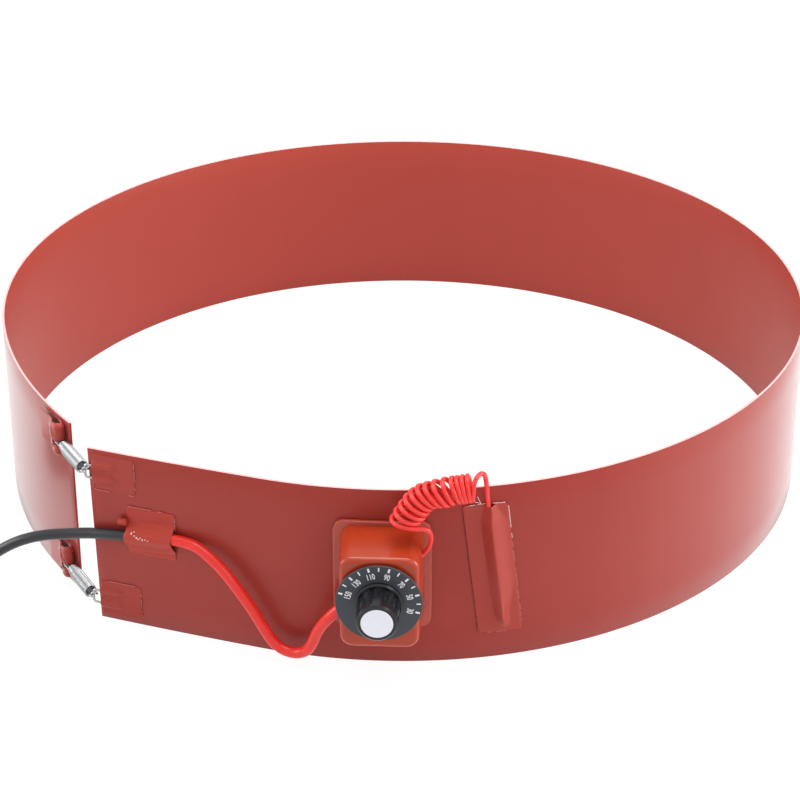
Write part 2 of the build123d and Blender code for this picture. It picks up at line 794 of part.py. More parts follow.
# Capillary: each point across, out and above the middle of the cover's box
capillary_axis = [
    housing_point(across, out, box_centre + rise)
    for across, out, rise in (
        (13.4, 16.7, 46.0),
        (19.3, 14.4, 53.5),
        (28.7, 12.5, 60.3),
        (40.6, 10.9, 63.1),
        (52.6, 9.4, 64.0),
    )
]
lower_capillary_route = [
    capillary_exit_inside,
    capillary_exit_outside,
    *[
        housing_point(across, out, box_centre + rise)
        for across, out, rise in (
            (32.9, 18.8, 30.1),
            (32.6, 19.2, 35.9),
            (28.2, 19.6, 40.7),
            (19.5, 18.0, 41.9),
        )
    ],
]
pocket_mouth = pocket_section.offset(tent_stations[0][0])
mouth_out = band_seat + capillary_diameter / 2 + pocket_wall
upper_capillary_route = [
    *[
        housing_point(across, out, box_centre + rise)
        for across, out, rise in (
            (52.2, 9.5, 71.7),
            (58.9, 8.0, 71.5),
            (64.0, 4.7, 67.1),
            (66.4, 0.2, 59.7),
        )
    ],
    tuple(pocket_mouth.offset(-mouth_run).from_local_coords((bulb_across, mouth_out, 0))),
    tuple(pocket_mouth.from_local_coords((bulb_across, mouth_out, 0))),
]

cord_tubes = (
    ("mains_cable", cable_route, cable_diameter),
    ("mains_cable_tail", tail_route, cable_diameter),
    ("red_lead", lead_route, lead_diameter),
    ("capillary_lower", lower_capillary_route, capillary_diameter),
    ("capillary_coil", capillary_axis, capillary_coil_diameter),
    ("capillary_upper", upper_capillary_route, capillary_diameter),
)
for label, route, diameter in cord_tubes:
    radii = route_radii(route)
    with BuildPart() as tube:
        with BuildLine() as route_line:
            FilletPolyline(*route, radius=radii)
        with BuildSketch(Plane(origin=route_line.line @ 0, z_dir=route_line.line % 0)):
            Circle(diameter / 2)
        sweep()
    length = sum(edge.length for edge in route_line.edges())
    expected = pi * diameter**2 / 4 * length
    print(f"{label}: length {length:.1f}, volume ratio {tube.part.volume / expected:.4f}")
    print("  arc radii in diameters:", [round(radius / diameter, 1) for radius in radii])
    save(tube.part, label)

# Coil of the mains cable's unseen length: its outer shape as one closed ring
with BuildPart() as cable_coil:
    with BuildSketch(Plane(origin=(*coil_centre, 0), x_dir=(1, 0, 0), z_dir=(0, -1, 0))):
        with BuildLine():
            Polyline(
                (coil_inner + cable_diameter / 4, 0),
                (coil_outer - cable_diameter / 4, 0),
                (coil_outer, cable_diameter / 2),
                (coil_outer - cable_diameter / 2, coil_height),
                (coil_inner + cable_diameter / 2, coil_height),
                (coil_inner, cable_diameter / 2),
                close=True,
            )
        make_face()
    revolve(axis=Axis((*coil_centre, 0), (0, 0, 1)))
save(cable_coil.part, "mains_cable_coil")

# Plug: strain relief, body, two pins and two earth contacts, lying beside the coil
relief_plane = Plane(
    origin=beside_coil(plug_start, plug_axis_height),
    x_dir=(0, 0, 1),
    z_dir=(*coil_heading, 0),
)
body_plane = relief_plane.offset(relief_length)
plug_axis = Axis(relief_plane.origin, relief_plane.z_dir)
relief_section = Plane(origin=relief_plane.origin, x_dir=(0, 0, 1), z_dir=-relief_plane.y_dir)
with BuildPart() as plug_relief:
    with BuildSketch(relief_plane):
        Circle(relief_end_diameter / 2)
    with BuildSketch(body_plane):
        Circle(plug_tail_diameter / 2 - relief_rib_depth)
    loft()
    for rib in range(relief_ribs):
        rib_at = relief_length * (rib + relief_rib_start) / (relief_ribs + 1 - relief_rib_start)
        rib_share = rib_at / relief_length
        rib_middle = relief_end_diameter / 2 * (1 - rib_share) + plug_tail_diameter / 2 * rib_share
        with BuildSketch(relief_plane.offset(rib_at)):
            Circle(rib_middle)
        extrude(amount=relief_rib_width)
save(plug_relief.part, "plug_strain_relief")

plug_section = Plane(origin=body_plane.origin, x_dir=(0, 0, 1), z_dir=-body_plane.y_dir)
with BuildPart() as plug_body:
    with BuildSketch(plug_section):
        with BuildLine():
            Polyline(
                (0, 0),
                (plug_tail_diameter / 2, 0),
                (plug_grip_diameter / 2, plug_grip_start),
                (plug_grip_diameter / 2, plug_length - plug_head - plug_shoulder),
                (plug_diameter / 2, plug_length - plug_head),
                (plug_diameter / 2, plug_length),
                (0, plug_length),
                close=True,
            )
        make_face()
    revolve(axis=plug_axis)
    with BuildSketch(body_plane.offset(plug_length)):
        with Locations((0, pin_circle / 2), (0, -pin_circle / 2)):
            Circle(plug_pin_diameter / 2)
    extrude(amount=-plug_pin_root, mode=Mode.SUBTRACT)
    with BuildSketch(body_plane.offset(plug_length)):
        with Locations((plug_diameter / 2, 0), (-plug_diameter / 2, 0)):
            Rectangle(2 * (earth_thickness + earth_room), earth_width + earth_room)
    extrude(amount=-earth_length, mode=Mode.SUBTRACT)
save(plug_body.part, "plug_body")

with BuildPart() as plug_pins:
    with BuildSketch(body_plane.offset(plug_length - plug_pin_root)):
        with Locations((0, pin_circle / 2), (0, -pin_circle / 2)):
            Circle(plug_pin_diameter / 2)
    extrude(amount=plug_pin_root + plug_pin_length)
    chamfer(faces().sort_by(Axis((0, 0, 0), relief_plane.z_dir))[-2:].edges(), length=plug_pin_edge)
save(plug_pins.part, "plug_pins")

with BuildPart() as earth_contacts:
    contact_centre = plug_diameter / 2 - earth_room - earth_thickness / 2
    with BuildSketch(body_plane.offset(plug_length - earth_length)):
        with Locations((contact_centre, 0), (-contact_centre, 0)):
            Rectangle(earth_thickness, earth_width)
    extrude(amount=earth_length - earth_room)
save(earth_contacts.part, "plug_earth_contacts")
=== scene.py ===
import math
from math import cos, pi, radians, sin, tau

import bmesh
import bpy
from mathutils import Matrix, Vector


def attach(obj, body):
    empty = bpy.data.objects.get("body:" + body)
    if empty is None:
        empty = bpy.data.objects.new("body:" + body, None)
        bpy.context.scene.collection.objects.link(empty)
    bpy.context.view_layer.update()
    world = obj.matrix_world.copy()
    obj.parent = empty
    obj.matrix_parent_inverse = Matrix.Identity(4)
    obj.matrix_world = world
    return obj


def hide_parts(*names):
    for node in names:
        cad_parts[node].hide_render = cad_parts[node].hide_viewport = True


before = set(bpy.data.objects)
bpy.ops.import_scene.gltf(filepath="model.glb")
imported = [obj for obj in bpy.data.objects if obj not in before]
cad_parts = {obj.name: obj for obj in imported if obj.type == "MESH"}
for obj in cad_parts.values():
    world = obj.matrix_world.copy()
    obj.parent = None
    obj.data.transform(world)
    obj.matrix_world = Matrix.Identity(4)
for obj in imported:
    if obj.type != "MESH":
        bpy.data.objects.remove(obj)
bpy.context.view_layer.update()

# The band as in the CAD, in metres: a ring with a flatter flap at each end
BAND_WIDTH = 0.125
BAND_LENGTH = 1.740
BAND_THICKNESS = 0.0015
RING_RADIUS = 0.281004
FLAP_LENGTH = 0.116
FLAP_RADIUS = 2.6
FLAP_JOIN = radians(-108)
FAR_FLAP_LENGTH = 0.150
FAR_FLAP_RADIUS = 0.360
RING_END = BAND_LENGTH - FAR_FLAP_LENGTH
BAND_SEAT = BAND_THICKNESS / 2 + 0.0003
# From this height up, the band's top cut edge gets a painted highlight
RIM_HIGHLIGHT_FROM = BAND_WIDTH - 0.0002

# Where the pieces sit: along the band from its near end, up it, and out from the rubber's middle
SPRING_PLACES = (("upper", 0.109), ("lower", 0.016))
PATCH_ALONG = 0.0157
JOINT_MIDDLE = (0.0400, 0.0710)
COVER_ALONG = 0.1912
KNOB_HEIGHT = 0.070
DIAL_FRONT = 0.0427
POCKET_MIDDLE = (0.2597, 0.066)
POCKET_LEAN = radians(6.9)
POCKET_SKEW = 0.135
PIN_ALONG = BAND_LENGTH - 0.009
PIN_OUT = 0.00415
PIN_RADIUS = 0.0015
STAPLE_ALONG = -0.0036
STAPLE_OUT = BAND_SEAT + 0.0009
STAPLE_RADIUS = 0.0008

CABLE_DIAMETER = 0.0072
CAPILLARY_DIAMETER = 0.003


# Places on the band, and plain curves for the shapes

def arc_on(start, run, radius):
    """Plan point and heading after a run along an arc that turns left."""
    x, y, heading = start
    ahead = heading + run / radius
    return x + radius * (sin(ahead) - sin(heading)), y - radius * (cos(ahead) - cos(heading)), ahead


def band_line(along):
    """Plan point and heading of the rubber's middle line."""
    joined = (RING_RADIUS * cos(FLAP_JOIN), RING_RADIUS * sin(FLAP_JOIN), FLAP_JOIN + pi / 2)
    if along < FLAP_LENGTH:
        return arc_on(joined, along - FLAP_LENGTH, FLAP_RADIUS)
    if along <= RING_END:
        return arc_on(joined, along - FLAP_LENGTH, RING_RADIUS)
    left = arc_on(joined, RING_END - FLAP_LENGTH, RING_RADIUS)
    return arc_on(left, along - RING_END, FAR_FLAP_RADIUS)


def band_place(along, height, out):
    """Point on the band: along it from the near end, up, and out from the rubber's middle."""
    x, y, heading = band_line(along)
    return Vector((x + out * sin(heading), y - out * cos(heading), height))


def band_frame(along, height, out):
    """Matrix of a frame that faces outwards: X along the band, Y up, Z outwards."""
    heading = band_line(along)[2]
    turn = Matrix(((cos(heading), 0, sin(heading)), (sin(heading), 0, -cos(heading)), (0, 1, 0)))
    return Matrix.Translation(band_place(along, height, out)) @ turn.to_4x4()


def ease(share):
    """Smooth step from 0 to 1."""
    share = min(max(share, 0), 1)
    return share * share * (3 - 2 * share)


def bulge(distance, half_width):
    """Smooth rise from 0 at half_width to 1 in the middle."""
    share = min(abs(distance) / half_width, 1)
    return (1 - share * share) ** 2


# Bench work: how every new piece is started, picked over and finished

def bench(name, primitive, **sizes):
    """Starts a piece from a primitive, in edit mode with nothing picked."""
    bpy.ops.object.select_all(action="DESELECT")
    getattr(bpy.ops.mesh, f"primitive_{primitive}_add")(**sizes)
    piece = bpy.context.object
    piece.name = piece.data.name = name
    bpy.ops.object.mode_set(mode="EDIT")
    bpy.ops.mesh.select_all(action="DESELECT")
    return piece


def pick(kind, test):
    """Picks the open piece's edges by middle and direction, or its faces by middle and normal."""
    bpy.ops.mesh.select_mode(type=kind)
    bpy.ops.mesh.select_all(action="DESELECT")
    mesh = bmesh.from_edit_mesh(bpy.context.object.data)
    for part in mesh.edges if kind == "EDGE" else mesh.faces:
        if kind == "EDGE":
            start, end = part.verts[0].co, part.verts[1].co
            middle, facing = (start + end) / 2, end - start
        else:
            middle, facing = part.calc_center_median(), part.normal
        if test(middle, facing):
            part.select_set(True)
    mesh.select_flush_mode()
    bmesh.update_edit_mesh(bpy.context.object.data)


def pick_all():
    bpy.ops.mesh.select_all(action="SELECT")


def off_bench(piece):
    """Closes the piece and leaves nothing else selected."""
    bpy.ops.object.mode_set(mode="OBJECT")
    bpy.ops.object.select_all(action="DESELECT")
    bpy.context.view_layer.objects.active = piece
    piece.select_set(True)


def modify(piece, kind, **settings):
    """Adds a modifier and applies it."""
    modifier = piece.modifiers.new(kind.title(), kind)
    for name, value in settings.items():
        setattr(modifier, name, value)
    bpy.context.view_layer.objects.active = piece
    bpy.ops.object.modifier_apply(modifier=modifier.name)


def soften(piece, width, segments=2, angle=50):
    """Rounds the edges that are sharper than an angle in degrees."""
    modify(piece, "BEVEL", width=width, segments=segments, limit_method="ANGLE", angle_limit=radians(angle))


def uv_in_metres(piece, length, width):
    """Scales a sheet's UV map from 0 to 1 up to its real size."""
    for corner in piece.data.uv_layers[0].uv:
        corner.vector = (corner.vector[0] * length, corner.vector[1] * width)


def smooth(piece, angle=35):
    """Shades the piece smooth, apart from edges sharper than an angle in degrees."""
    bpy.ops.object.select_all(action="DESELECT")
    bpy.context.view_layer.objects.active = piece
    piece.select_set(True)
    bpy.ops.object.shade_smooth_by_angle(angle=radians(angle))


def place(piece, matrix):
    """Moves the piece's mesh to its place in the frame; the object stays at the origin."""
    piece.data.transform(matrix @ piece.matrix_world)
    piece.matrix_world = Matrix.Identity(4)


def lay_on_band(piece):
    """Bends a piece from the flat, X along, Y up and Z out, onto the band."""
    for vertex in piece.data.vertices:
        vertex.co = band_place(*vertex.co)


def join(name, *pieces):
    """Makes the pieces one, under a new name."""
    bpy.ops.object.select_all(action="DESELECT")
    for piece in pieces:
        piece.select_set(True)
    bpy.context.view_layer.objects.active = pieces[0]
    bpy.ops.object.join()
    pieces[0].name = pieces[0].data.name = name
    return pieces[0]


def outward(piece):
    """Merges doubles and turns all faces outwards."""
    bpy.context.view_layer.objects.active = piece
    bpy.ops.object.mode_set(mode="EDIT")
    pick_all()
    bpy.ops.mesh.remove_doubles(threshold=0.000001)
    bpy.ops.mesh.normals_make_consistent(inside=False)
    off_bench(piece)


def dress(piece, material, body="band", replaced=()):
    """Gives the piece its material and body, and hides the CAD nodes that it stands for."""
    piece.data.materials.clear()
    piece.data.materials.append(material)
    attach(piece, body)
    if replaced:
        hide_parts(*replaced)
    return piece


# Shader work

def shader(tree, kind, sockets=None, **settings):
    """Adds a shader node; sockets are linked or set by name or number."""
    made = tree.nodes.new(kind)
    for name, value in settings.items():
        setattr(made, name, value)
    for name, value in (sockets or {}).items():
        if isinstance(value, bpy.types.NodeSocket):
            tree.links.new(value, made.inputs[name])
        else:
            made.inputs[name].default_value = value
    return made


def group(name, inputs, output, kind):
    """Starts a shader group with named inputs and one output."""
    tree = bpy.data.node_groups.new(name, "ShaderNodeTree")
    for title, socket_kind, value in inputs:
        socket = tree.interface.new_socket(title, in_out="INPUT", socket_type=socket_kind)
        if value is not None:
            socket.default_value = value
    tree.interface.new_socket(output, in_out="OUTPUT", socket_type=kind)
    return tree, tree.nodes.new("NodeGroupInput"), tree.nodes.new("NodeGroupOutput")


def math_node(tree, operation, first, second=0.0):
    return shader(tree, "ShaderNodeMath", {0: first, 1: second}, operation=operation).outputs[0]


def noise(tree, spot, scale, detail):
    sockets = {"Vector": spot, "Scale": scale, "Detail": detail}
    return shader(tree, "ShaderNodeTexNoise", sockets).outputs["Fac"]


def mixed_colour(tree, share, first, second):
    sockets = {"Factor": share, 6: first, 7: second}
    return shader(tree, "ShaderNodeMix", sockets, data_type="RGBA").outputs[2]


def make_fabric_print():
    """Print of the curing cloth in rubber: crossed threads at a spacing in metres."""
    tree, given, result = group(
        "Fabric print",
        [("Vector", "NodeSocketVector", None), ("Spacing", "NodeSocketFloat", 0.0012)],
        "Height",
        "NodeSocketFloat",
    )
    split = shader(tree, "ShaderNodeSeparateXYZ", {0: given.outputs["Vector"]})
    waves = []
    for axis in range(2):
        turns = math_node(tree, "DIVIDE", split.outputs[axis], given.outputs["Spacing"])
        waves.append(math_node(tree, "SINE", math_node(tree, "MULTIPLY", turns, tau)))
    crossed = math_node(tree, "MULTIPLY", waves[0], waves[1])
    tree.links.new(math_node(tree, "MULTIPLY_ADD", crossed, 0.5), result.inputs[0])
    return tree


def make_cured_tone():
    """Colour of cured silicone: faint streaks across the strip and soft cloudy patches."""
    tree, given, result = group(
        "Cured tone",
        [
            ("Vector", "NodeSocketVector", None),
            ("Deep", "NodeSocketColor", (0.3, 0.04, 0.03, 1)),
            ("Bright", "NodeSocketColor", (0.4, 0.07, 0.05, 1)),
            ("Streak", "NodeSocketFloat", 90.0),
        ],
        "Color",
        "NodeSocketColor",
    )
    stretch = shader(tree, "ShaderNodeCombineXYZ", {0: given.outputs["Streak"], 1: 5.0, 2: 5.0})
    spots = {0: given.outputs["Vector"], 1: stretch.outputs[0]}
    along = shader(tree, "ShaderNodeVectorMath", spots, operation="MULTIPLY")
    streaks = math_node(tree, "MULTIPLY", noise(tree, along.outputs[0], 1.0, 3.0), 0.4)
    clouds = math_node(tree, "MULTIPLY", noise(tree, given.outputs["Vector"], 14.0, 3.0), 0.6)
    share = math_node(tree, "ADD", streaks, clouds)
    tone = mixed_colour(tree, share, given.outputs["Deep"], given.outputs["Bright"])
    tree.links.new(tone, result.inputs[0])
    return tree


def make_moulded_grain():
    """Fine grain of a moulded or extruded skin."""
    tree, given, result = group(
        "Moulded grain",
        [("Vector", "NodeSocketVector", None), ("Scale", "NodeSocketFloat", 900.0)],
        "Height",
        "NodeSocketFloat",
    )
    tree.links.new(noise(tree, given.outputs["Vector"], given.outputs["Scale"], 4.0), result.inputs[0])
    return tree


def make_drawn_marks():
    """Lengthwise marks of drawn wire and turned metal."""
    tree, given, result = group(
        "Drawn marks",
        [("Vector", "NodeSocketVector", None), ("Scale", "NodeSocketFloat", 400.0)],
        "Mask",
        "NodeSocketFloat",
    )
    tree.links.new(noise(tree, given.outputs["Vector"], given.outputs["Scale"], 6.0), result.inputs[0])
    return tree


fabric_print = make_fabric_print()
cured_tone = make_cured_tone()
moulded_grain = make_moulded_grain()
drawn_marks = make_drawn_marks()


def finish(name):
    """A material with its node tree, its Principled shader and the object's coordinates."""
    material = bpy.data.materials.new(name)
    material.use_nodes = True
    tree = material.node_tree
    skin = tree.nodes["Principled BSDF"]
    coordinates = tree.nodes.new("ShaderNodeTexCoord")
    return material, tree, skin, coordinates


def placed_group(tree, used, sockets):
    """Puts a group in a material; its sockets are linked or set by name."""
    made = tree.nodes.new("ShaderNodeGroup")
    made.node_tree = used
    for name, value in sockets.items():
        if isinstance(value, bpy.types.NodeSocket):
            tree.links.new(value, made.inputs[name])
        else:
            made.inputs[name].default_value = value
    return made.outputs[0]


def set_skin(skin, **values):
    """Sets plain values on a Principled shader, with _ for the spaces in a socket's name."""
    for name, value in values.items():
        skin.inputs[name.replace("_", " ")].default_value = value


def bump(tree, skin, height, depth):
    made = shader(tree, "ShaderNodeBump", {"Height": height, "Distance": depth, "Strength": 1.0})
    tree.links.new(made.outputs["Normal"], skin.inputs["Normal"])


# Pale pink of the painted highlight along the band's top cut edge
RIM_HIGHLIGHT_PINK = (0.86, 0.45, 0.44, 1)
POLISH_FROM, POLISH_FULL, SHEEN_SHARE = 0.12, 0.78, 0.55


def silicone(name, deep, bright, cut_from=0.0, cloth=0.0012, roughness=0.4, polish=0.0):
    """Pressed silicone rubber with the print of its curing cloth; from a set height up, its top cut edge is
    painted paler, a painted highlight.
    """
    material, tree, skin, coordinates = finish(name)
    spot = coordinates.outputs["UV"]
    colours = {"Vector": spot, "Deep": (*deep, 1), "Bright": (*bright, 1), "Streak": 60.0}
    tone = placed_group(tree, cured_tone, colours)
    # Painted highlight: the top cut edge turns pale pink
    if cut_from:
        split = shader(tree, "ShaderNodeSeparateXYZ", {0: spot})
        cut = math_node(tree, "GREATER_THAN", split.outputs[1], cut_from)
        tone = mixed_colour(tree, cut, tone, RIM_HIGHLIGHT_PINK)
    tree.links.new(tone, skin.inputs["Base Color"])
    threads = placed_group(tree, fabric_print, {"Vector": spot, "Spacing": cloth})
    bump(tree, skin, threads, 0.00004)
    set_skin(skin, Roughness=roughness, IOR=1.3, Coat_Roughness=0.2, Coat_IOR=1.6)
    if polish:
        slant = shader(tree, "ShaderNodeLayerWeight", {"Blend": 0.5}).outputs["Facing"]
        stops = {0: slant, 1: POLISH_FROM, 2: POLISH_FULL, 3: 0.0, 4: polish}
        glancing = shader(tree, "ShaderNodeMapRange", stops).outputs[0]
        tree.links.new(glancing, skin.inputs["Coat Weight"])
        tree.links.new(math_node(tree, "MULTIPLY", glancing, SHEEN_SHARE), skin.inputs["Sheen Weight"])
        set_skin(skin, Sheen_Roughness=0.25, Sheen_Tint=(1, 0.93, 0.94, 1))
    return material


def moulding(name, colour, shade, roughness=0.3, grain=900.0, depth=0.00002, coat=0.0, subsurface=0.0):
    """Moulded or extruded skin, with a fine grain and a slight change of tone."""
    material, tree, skin, coordinates = finish(name)
    spot = coordinates.outputs["Object"]
    tone = mixed_colour(tree, noise(tree, spot, 45.0, 2.0), (*colour, 1), (*shade, 1))
    tree.links.new(tone, skin.inputs["Base Color"])
    bump(tree, skin, placed_group(tree, moulded_grain, {"Vector": spot, "Scale": grain}), depth)
    set_skin(skin, Roughness=roughness, IOR=1.45, Coat_Weight=coat, Coat_Roughness=0.12)
    if subsurface:
        set_skin(skin, Subsurface_Weight=subsurface, Subsurface_Scale=1.0)
        set_skin(skin, Subsurface_Radius=(0.004, 0.0012, 0.0006))
    return material


def metal(name, colour, roughness):
    """Bright metal with fine drawn marks."""
    material, tree, skin, coordinates = finish(name)
    marks = placed_group(tree, drawn_marks, {"Vector": coordinates.outputs["Object"], "Scale": 400.0})
    worn = [0.8 * part for part in colour]
    tree.links.new(mixed_colour(tree, marks, (*colour, 1), (*worn, 1)), skin.inputs["Base Color"])
    dull = shader(tree, "ShaderNodeMapRange", {0: marks, 3: roughness * 0.7, 4: roughness * 1.4})
    tree.links.new(dull.outputs[0], skin.inputs["Roughness"])
    set_skin(skin, Metallic=1.0)
    return material


mat_rubber = silicone(
    "mat_rubber", (0.305, 0.031, 0.022), (0.355, 0.040, 0.029), cut_from=RIM_HIGHLIGHT_FROM, polish=1.0
)
# Brighter, more orange copy of the mat's rubber for the inner face: painted light bounced round inside the
# ring
inner_painted_light_rubber = silicone(
    "inner_painted_light_rubber", (0.345, 0.048, 0.033), (0.385, 0.056, 0.040), cut_from=RIM_HIGHLIGHT_FROM
)
patch_rubber = silicone("patch_rubber", (0.34, 0.044, 0.034), (0.40, 0.054, 0.042), cloth=0.001)
loop_rubber = silicone("loop_rubber", (0.34, 0.044, 0.034), (0.42, 0.058, 0.046), cloth=0.001, polish=0.8)
joint_rubber = silicone(
    "joint_rubber", (0.38, 0.040, 0.026), (0.46, 0.050, 0.033), cloth=0.001, roughness=0.34
)
pocket_rubber = silicone(
    "pocket_rubber", (0.35, 0.044, 0.033), (0.42, 0.058, 0.043), cloth=0.001, roughness=0.34
)
cover_rubber = moulding(
    "cover_rubber", (0.42, 0.040, 0.009), (0.37, 0.033, 0.007), roughness=0.26, coat=0.06, subsurface=0.25
)
flange_rubber = moulding(
    "flange_rubber", (0.44, 0.060, 0.036), (0.38, 0.050, 0.030), roughness=0.25, coat=0.15, subsurface=0.25
)
lead_rubber = moulding("lead_rubber", (0.80, 0.030, 0.020), (0.68, 0.020, 0.014), subsurface=0.15)
sleeve_rubber = moulding(
    "sleeve_rubber", (0.86, 0.042, 0.036), (0.74, 0.03, 0.026), roughness=0.26, subsurface=0.2
)
cable_rubber = moulding(
    "cable_rubber", (0.008, 0.009, 0.013), (0.013, 0.014, 0.02), roughness=0.34, grain=1400.0, coat=0.25
)
plug_rubber = moulding("plug_rubber", (0.02, 0.022, 0.028), (0.028, 0.03, 0.038), roughness=0.38)
dial_paint = moulding(
    "dial_paint", (0.034, 0.04, 0.052), (0.044, 0.05, 0.062), roughness=0.5, depth=0.00001
)
knob_plastic = moulding("knob_plastic", (0.006, 0.006, 0.008), (0.010, 0.010, 0.013), roughness=0.2)
switch_plastic = moulding("switch_plastic", (0.06, 0.06, 0.065), (0.045, 0.045, 0.05), roughness=0.45)
print_white = moulding("print_white", (0.86, 0.86, 0.88), (0.78, 0.78, 0.8), roughness=0.5)
cap_foil = moulding("cap_foil", (0.78, 0.79, 0.86), (0.72, 0.73, 0.8), roughness=0.35)
glue_white = moulding(
    "glue_white", (0.85, 0.66, 0.64), (0.7, 0.5, 0.48), roughness=0.4, grain=1500.0, depth=0.00006
)
glue_pink = moulding(
    "glue_pink", (0.56, 0.2, 0.17), (0.48, 0.13, 0.11), roughness=0.35, grain=1500.0, depth=0.00004
)
# Dark red of painted shade for the pocket's shaded left edge
painted_shade_dark = moulding("painted_shade_dark", (0.16, 0.018, 0.014), (0.2, 0.025, 0.02), roughness=0.5)
spring_steel = metal("spring_steel", (0.46, 0.47, 0.48), 0.16)
wire_steel = metal("wire_steel", (0.5, 0.5, 0.52), 0.2)
bracket_steel = metal("bracket_steel", (0.62, 0.62, 0.6), 0.35)
contact_brass = metal("contact_brass", (0.85, 0.78, 0.6), 0.22)

# CAD nodes that keep their own mesh
for label, material in {
    "hook_staple_upper": wire_steel,
    "hook_staple_lower": wire_steel,
    "switch_bracket": bracket_steel,
    "bracket_screws": wire_steel,
    "switch_block": switch_plastic,
    "diaphragm_capsule": bracket_steel,
    "switch_terminals": contact_brass,
    "spindle": wire_steel,
    "dial_disc": dial_paint,
    "control_knob": knob_plastic,
    "knob_cap": cap_foil,
    "plug_strain_relief": plug_rubber,
    "plug_body": plug_rubber,
    "plug_pins": contact_brass,
    "plug_earth_contacts": contact_brass,
}.items():
    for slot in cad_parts[label].material_slots:
        slot.material = material


# Camera, as read from the photograph

def set_camera():
    focal_pixels, frame_pixels, sensor, down = 2410.0, 800.0, 36.0, 28.1
    data = bpy.data.cameras.new("photo_camera")
    data.sensor_width = sensor
    data.lens = sensor * focal_pixels / frame_pixels
    data.clip_end = 20.0
    camera = bpy.data.objects.new("photo_camera", data)
    camera.location = (-0.0023, -1.546, 0.862)
    camera.rotation_euler = (radians(90 - down), 0, 0)
    bpy.context.scene.collection.objects.link(camera)
    bpy.context.scene.camera = camera


set_camera()


# Cords

def make_cord(name, points, diameter, material, **facts):
    """A free cord on one smooth curve, with the points of its route."""
    data = bpy.data.curves.new(name, "CURVE")
    data.dimensions = "3D"
    data.resolution_u = 8
    data.bevel_depth = diameter / 2
    data.bevel_resolution = 5
    data.use_fill_caps = True
    spline = data.splines.new("NURBS")
    spline.points.add(len(points) - 1)
    for point, spot in zip(spline.points, points):
        point.co = (*spot, 1)
    spline.order_u = 3
    spline.use_endpoint_u = True
    cord = bpy.data.objects.new(name, data)
    bpy.context.scene.collection.objects.link(cord)
    data.materials.append(material)
    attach(cord, "band")
    return cord


def mains_cable_points():
    """Out of the joint, down to the coil, through its turns and on to the plug."""
    run = [
        (-0.16885, -0.24436, 0.0688),
        (-0.17880, -0.24073, 0.0682),
        (-0.18819, -0.23729, 0.0668),
        (-0.2010, -0.2318, 0.0645),
        (-0.2150, -0.2276, 0.0612),
        (-0.2320, -0.2240, 0.0582),
        (-0.2494, -0.2212, 0.0516),
        (-0.2660, -0.2186, 0.0400),
        (-0.2810, -0.2160, 0.0274),
        (-0.2970, -0.2132, 0.0170),
        (-0.3130, -0.2102, 0.0120),
    ]
    # The coil winds inwards on top, drops to the floor and winds outwards there
    centre, first, last, step_count = Vector((-0.3380, -0.2500)), radians(80), radians(1820), 78
    inner, top_entry, bottom_leave = 0.0280, 0.0436, 0.0472
    low, high, plug_height = CABLE_DIAMETER / 2, CABLE_DIAMETER * 1.5, 0.0185
    turnover, drop_angle = first + (top_entry - inner) / CABLE_DIAMETER * tau, radians(75)
    step = (last - first) / step_count
    # A curve cuts the corners of its points, so they stand a little wider
    wider = (3 + cos(step)) / 4
    for index in range(step_count + 1):
        angle = first + step * index
        if angle < turnover:
            radius = top_entry - CABLE_DIAMETER * (angle - first) / tau
        else:
            radius = inner + CABLE_DIAMETER * (angle - turnover) / tau
        radius /= wider
        height = high + (low - high) * ease((angle - turnover) / drop_angle + 1)
        run.append((centre.x + radius * cos(angle), centre.y + radius * sin(angle), height))
    leave = centre + bottom_leave * Vector((cos(last), sin(last)))
    heading = Vector((-sin(last), cos(last)))
    for reach, height in ((0.0100, low), (0.0275, low), (0.0610, plug_height), (0.0785, plug_height)):
        run.append((*(leave + reach * heading), height))
    return run


mains_cable = make_cord(
    "mains_cable_run",
    mains_cable_points(),
    CABLE_DIAMETER,
    cable_rubber,
    length=1.36,
    far_end="plug",
    stiffness="medium",
    lay="coiled",
    with_pieces=["plug_strain_relief", "plug_body", "plug_pins", "plug_earth_contacts"],
)
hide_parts("mains_cable", "mains_cable_coil", "mains_cable_tail")

red_lead = make_cord(
    "red_lead_run",
    [
        (-0.14484, -0.25289, 0.0720),
        (-0.13541, -0.25620, 0.0720),
        (-0.1275, -0.2611, 0.0706),
        (-0.1201, -0.2662, 0.0664),
        (-0.1118, -0.2701, 0.0592),
        (-0.1036, -0.2729, 0.0480),
        (-0.0949, -0.2757, 0.0354),
        (-0.0864, -0.2784, 0.0199),
        (-0.0814, -0.2801, 0.0126),
        (-0.0761, -0.2820, 0.0092),
        (-0.0701, -0.2844, 0.0083),
        (-0.0645, -0.2871, 0.0100),
        (-0.0601, -0.2900, 0.0140),
        (-0.0565, -0.2928, 0.0218),
        (-0.0528, -0.2959, 0.0340),
        (-0.04410, -0.30198, 0.0483),
        (-0.03441, -0.30243, 0.0578),
    ],
    CABLE_DIAMETER,
    lead_rubber,
    length=0.174,
    far_end="object",
    stiffness="limp",
    lay="hanging",
)
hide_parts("red_lead")


def on_cover(across, out, height):
    """Place in the cover's frame: across along the band, out from the rubber's middle."""
    return tuple(band_frame(COVER_ALONG, height, out) @ Vector((across, 0, 0)))


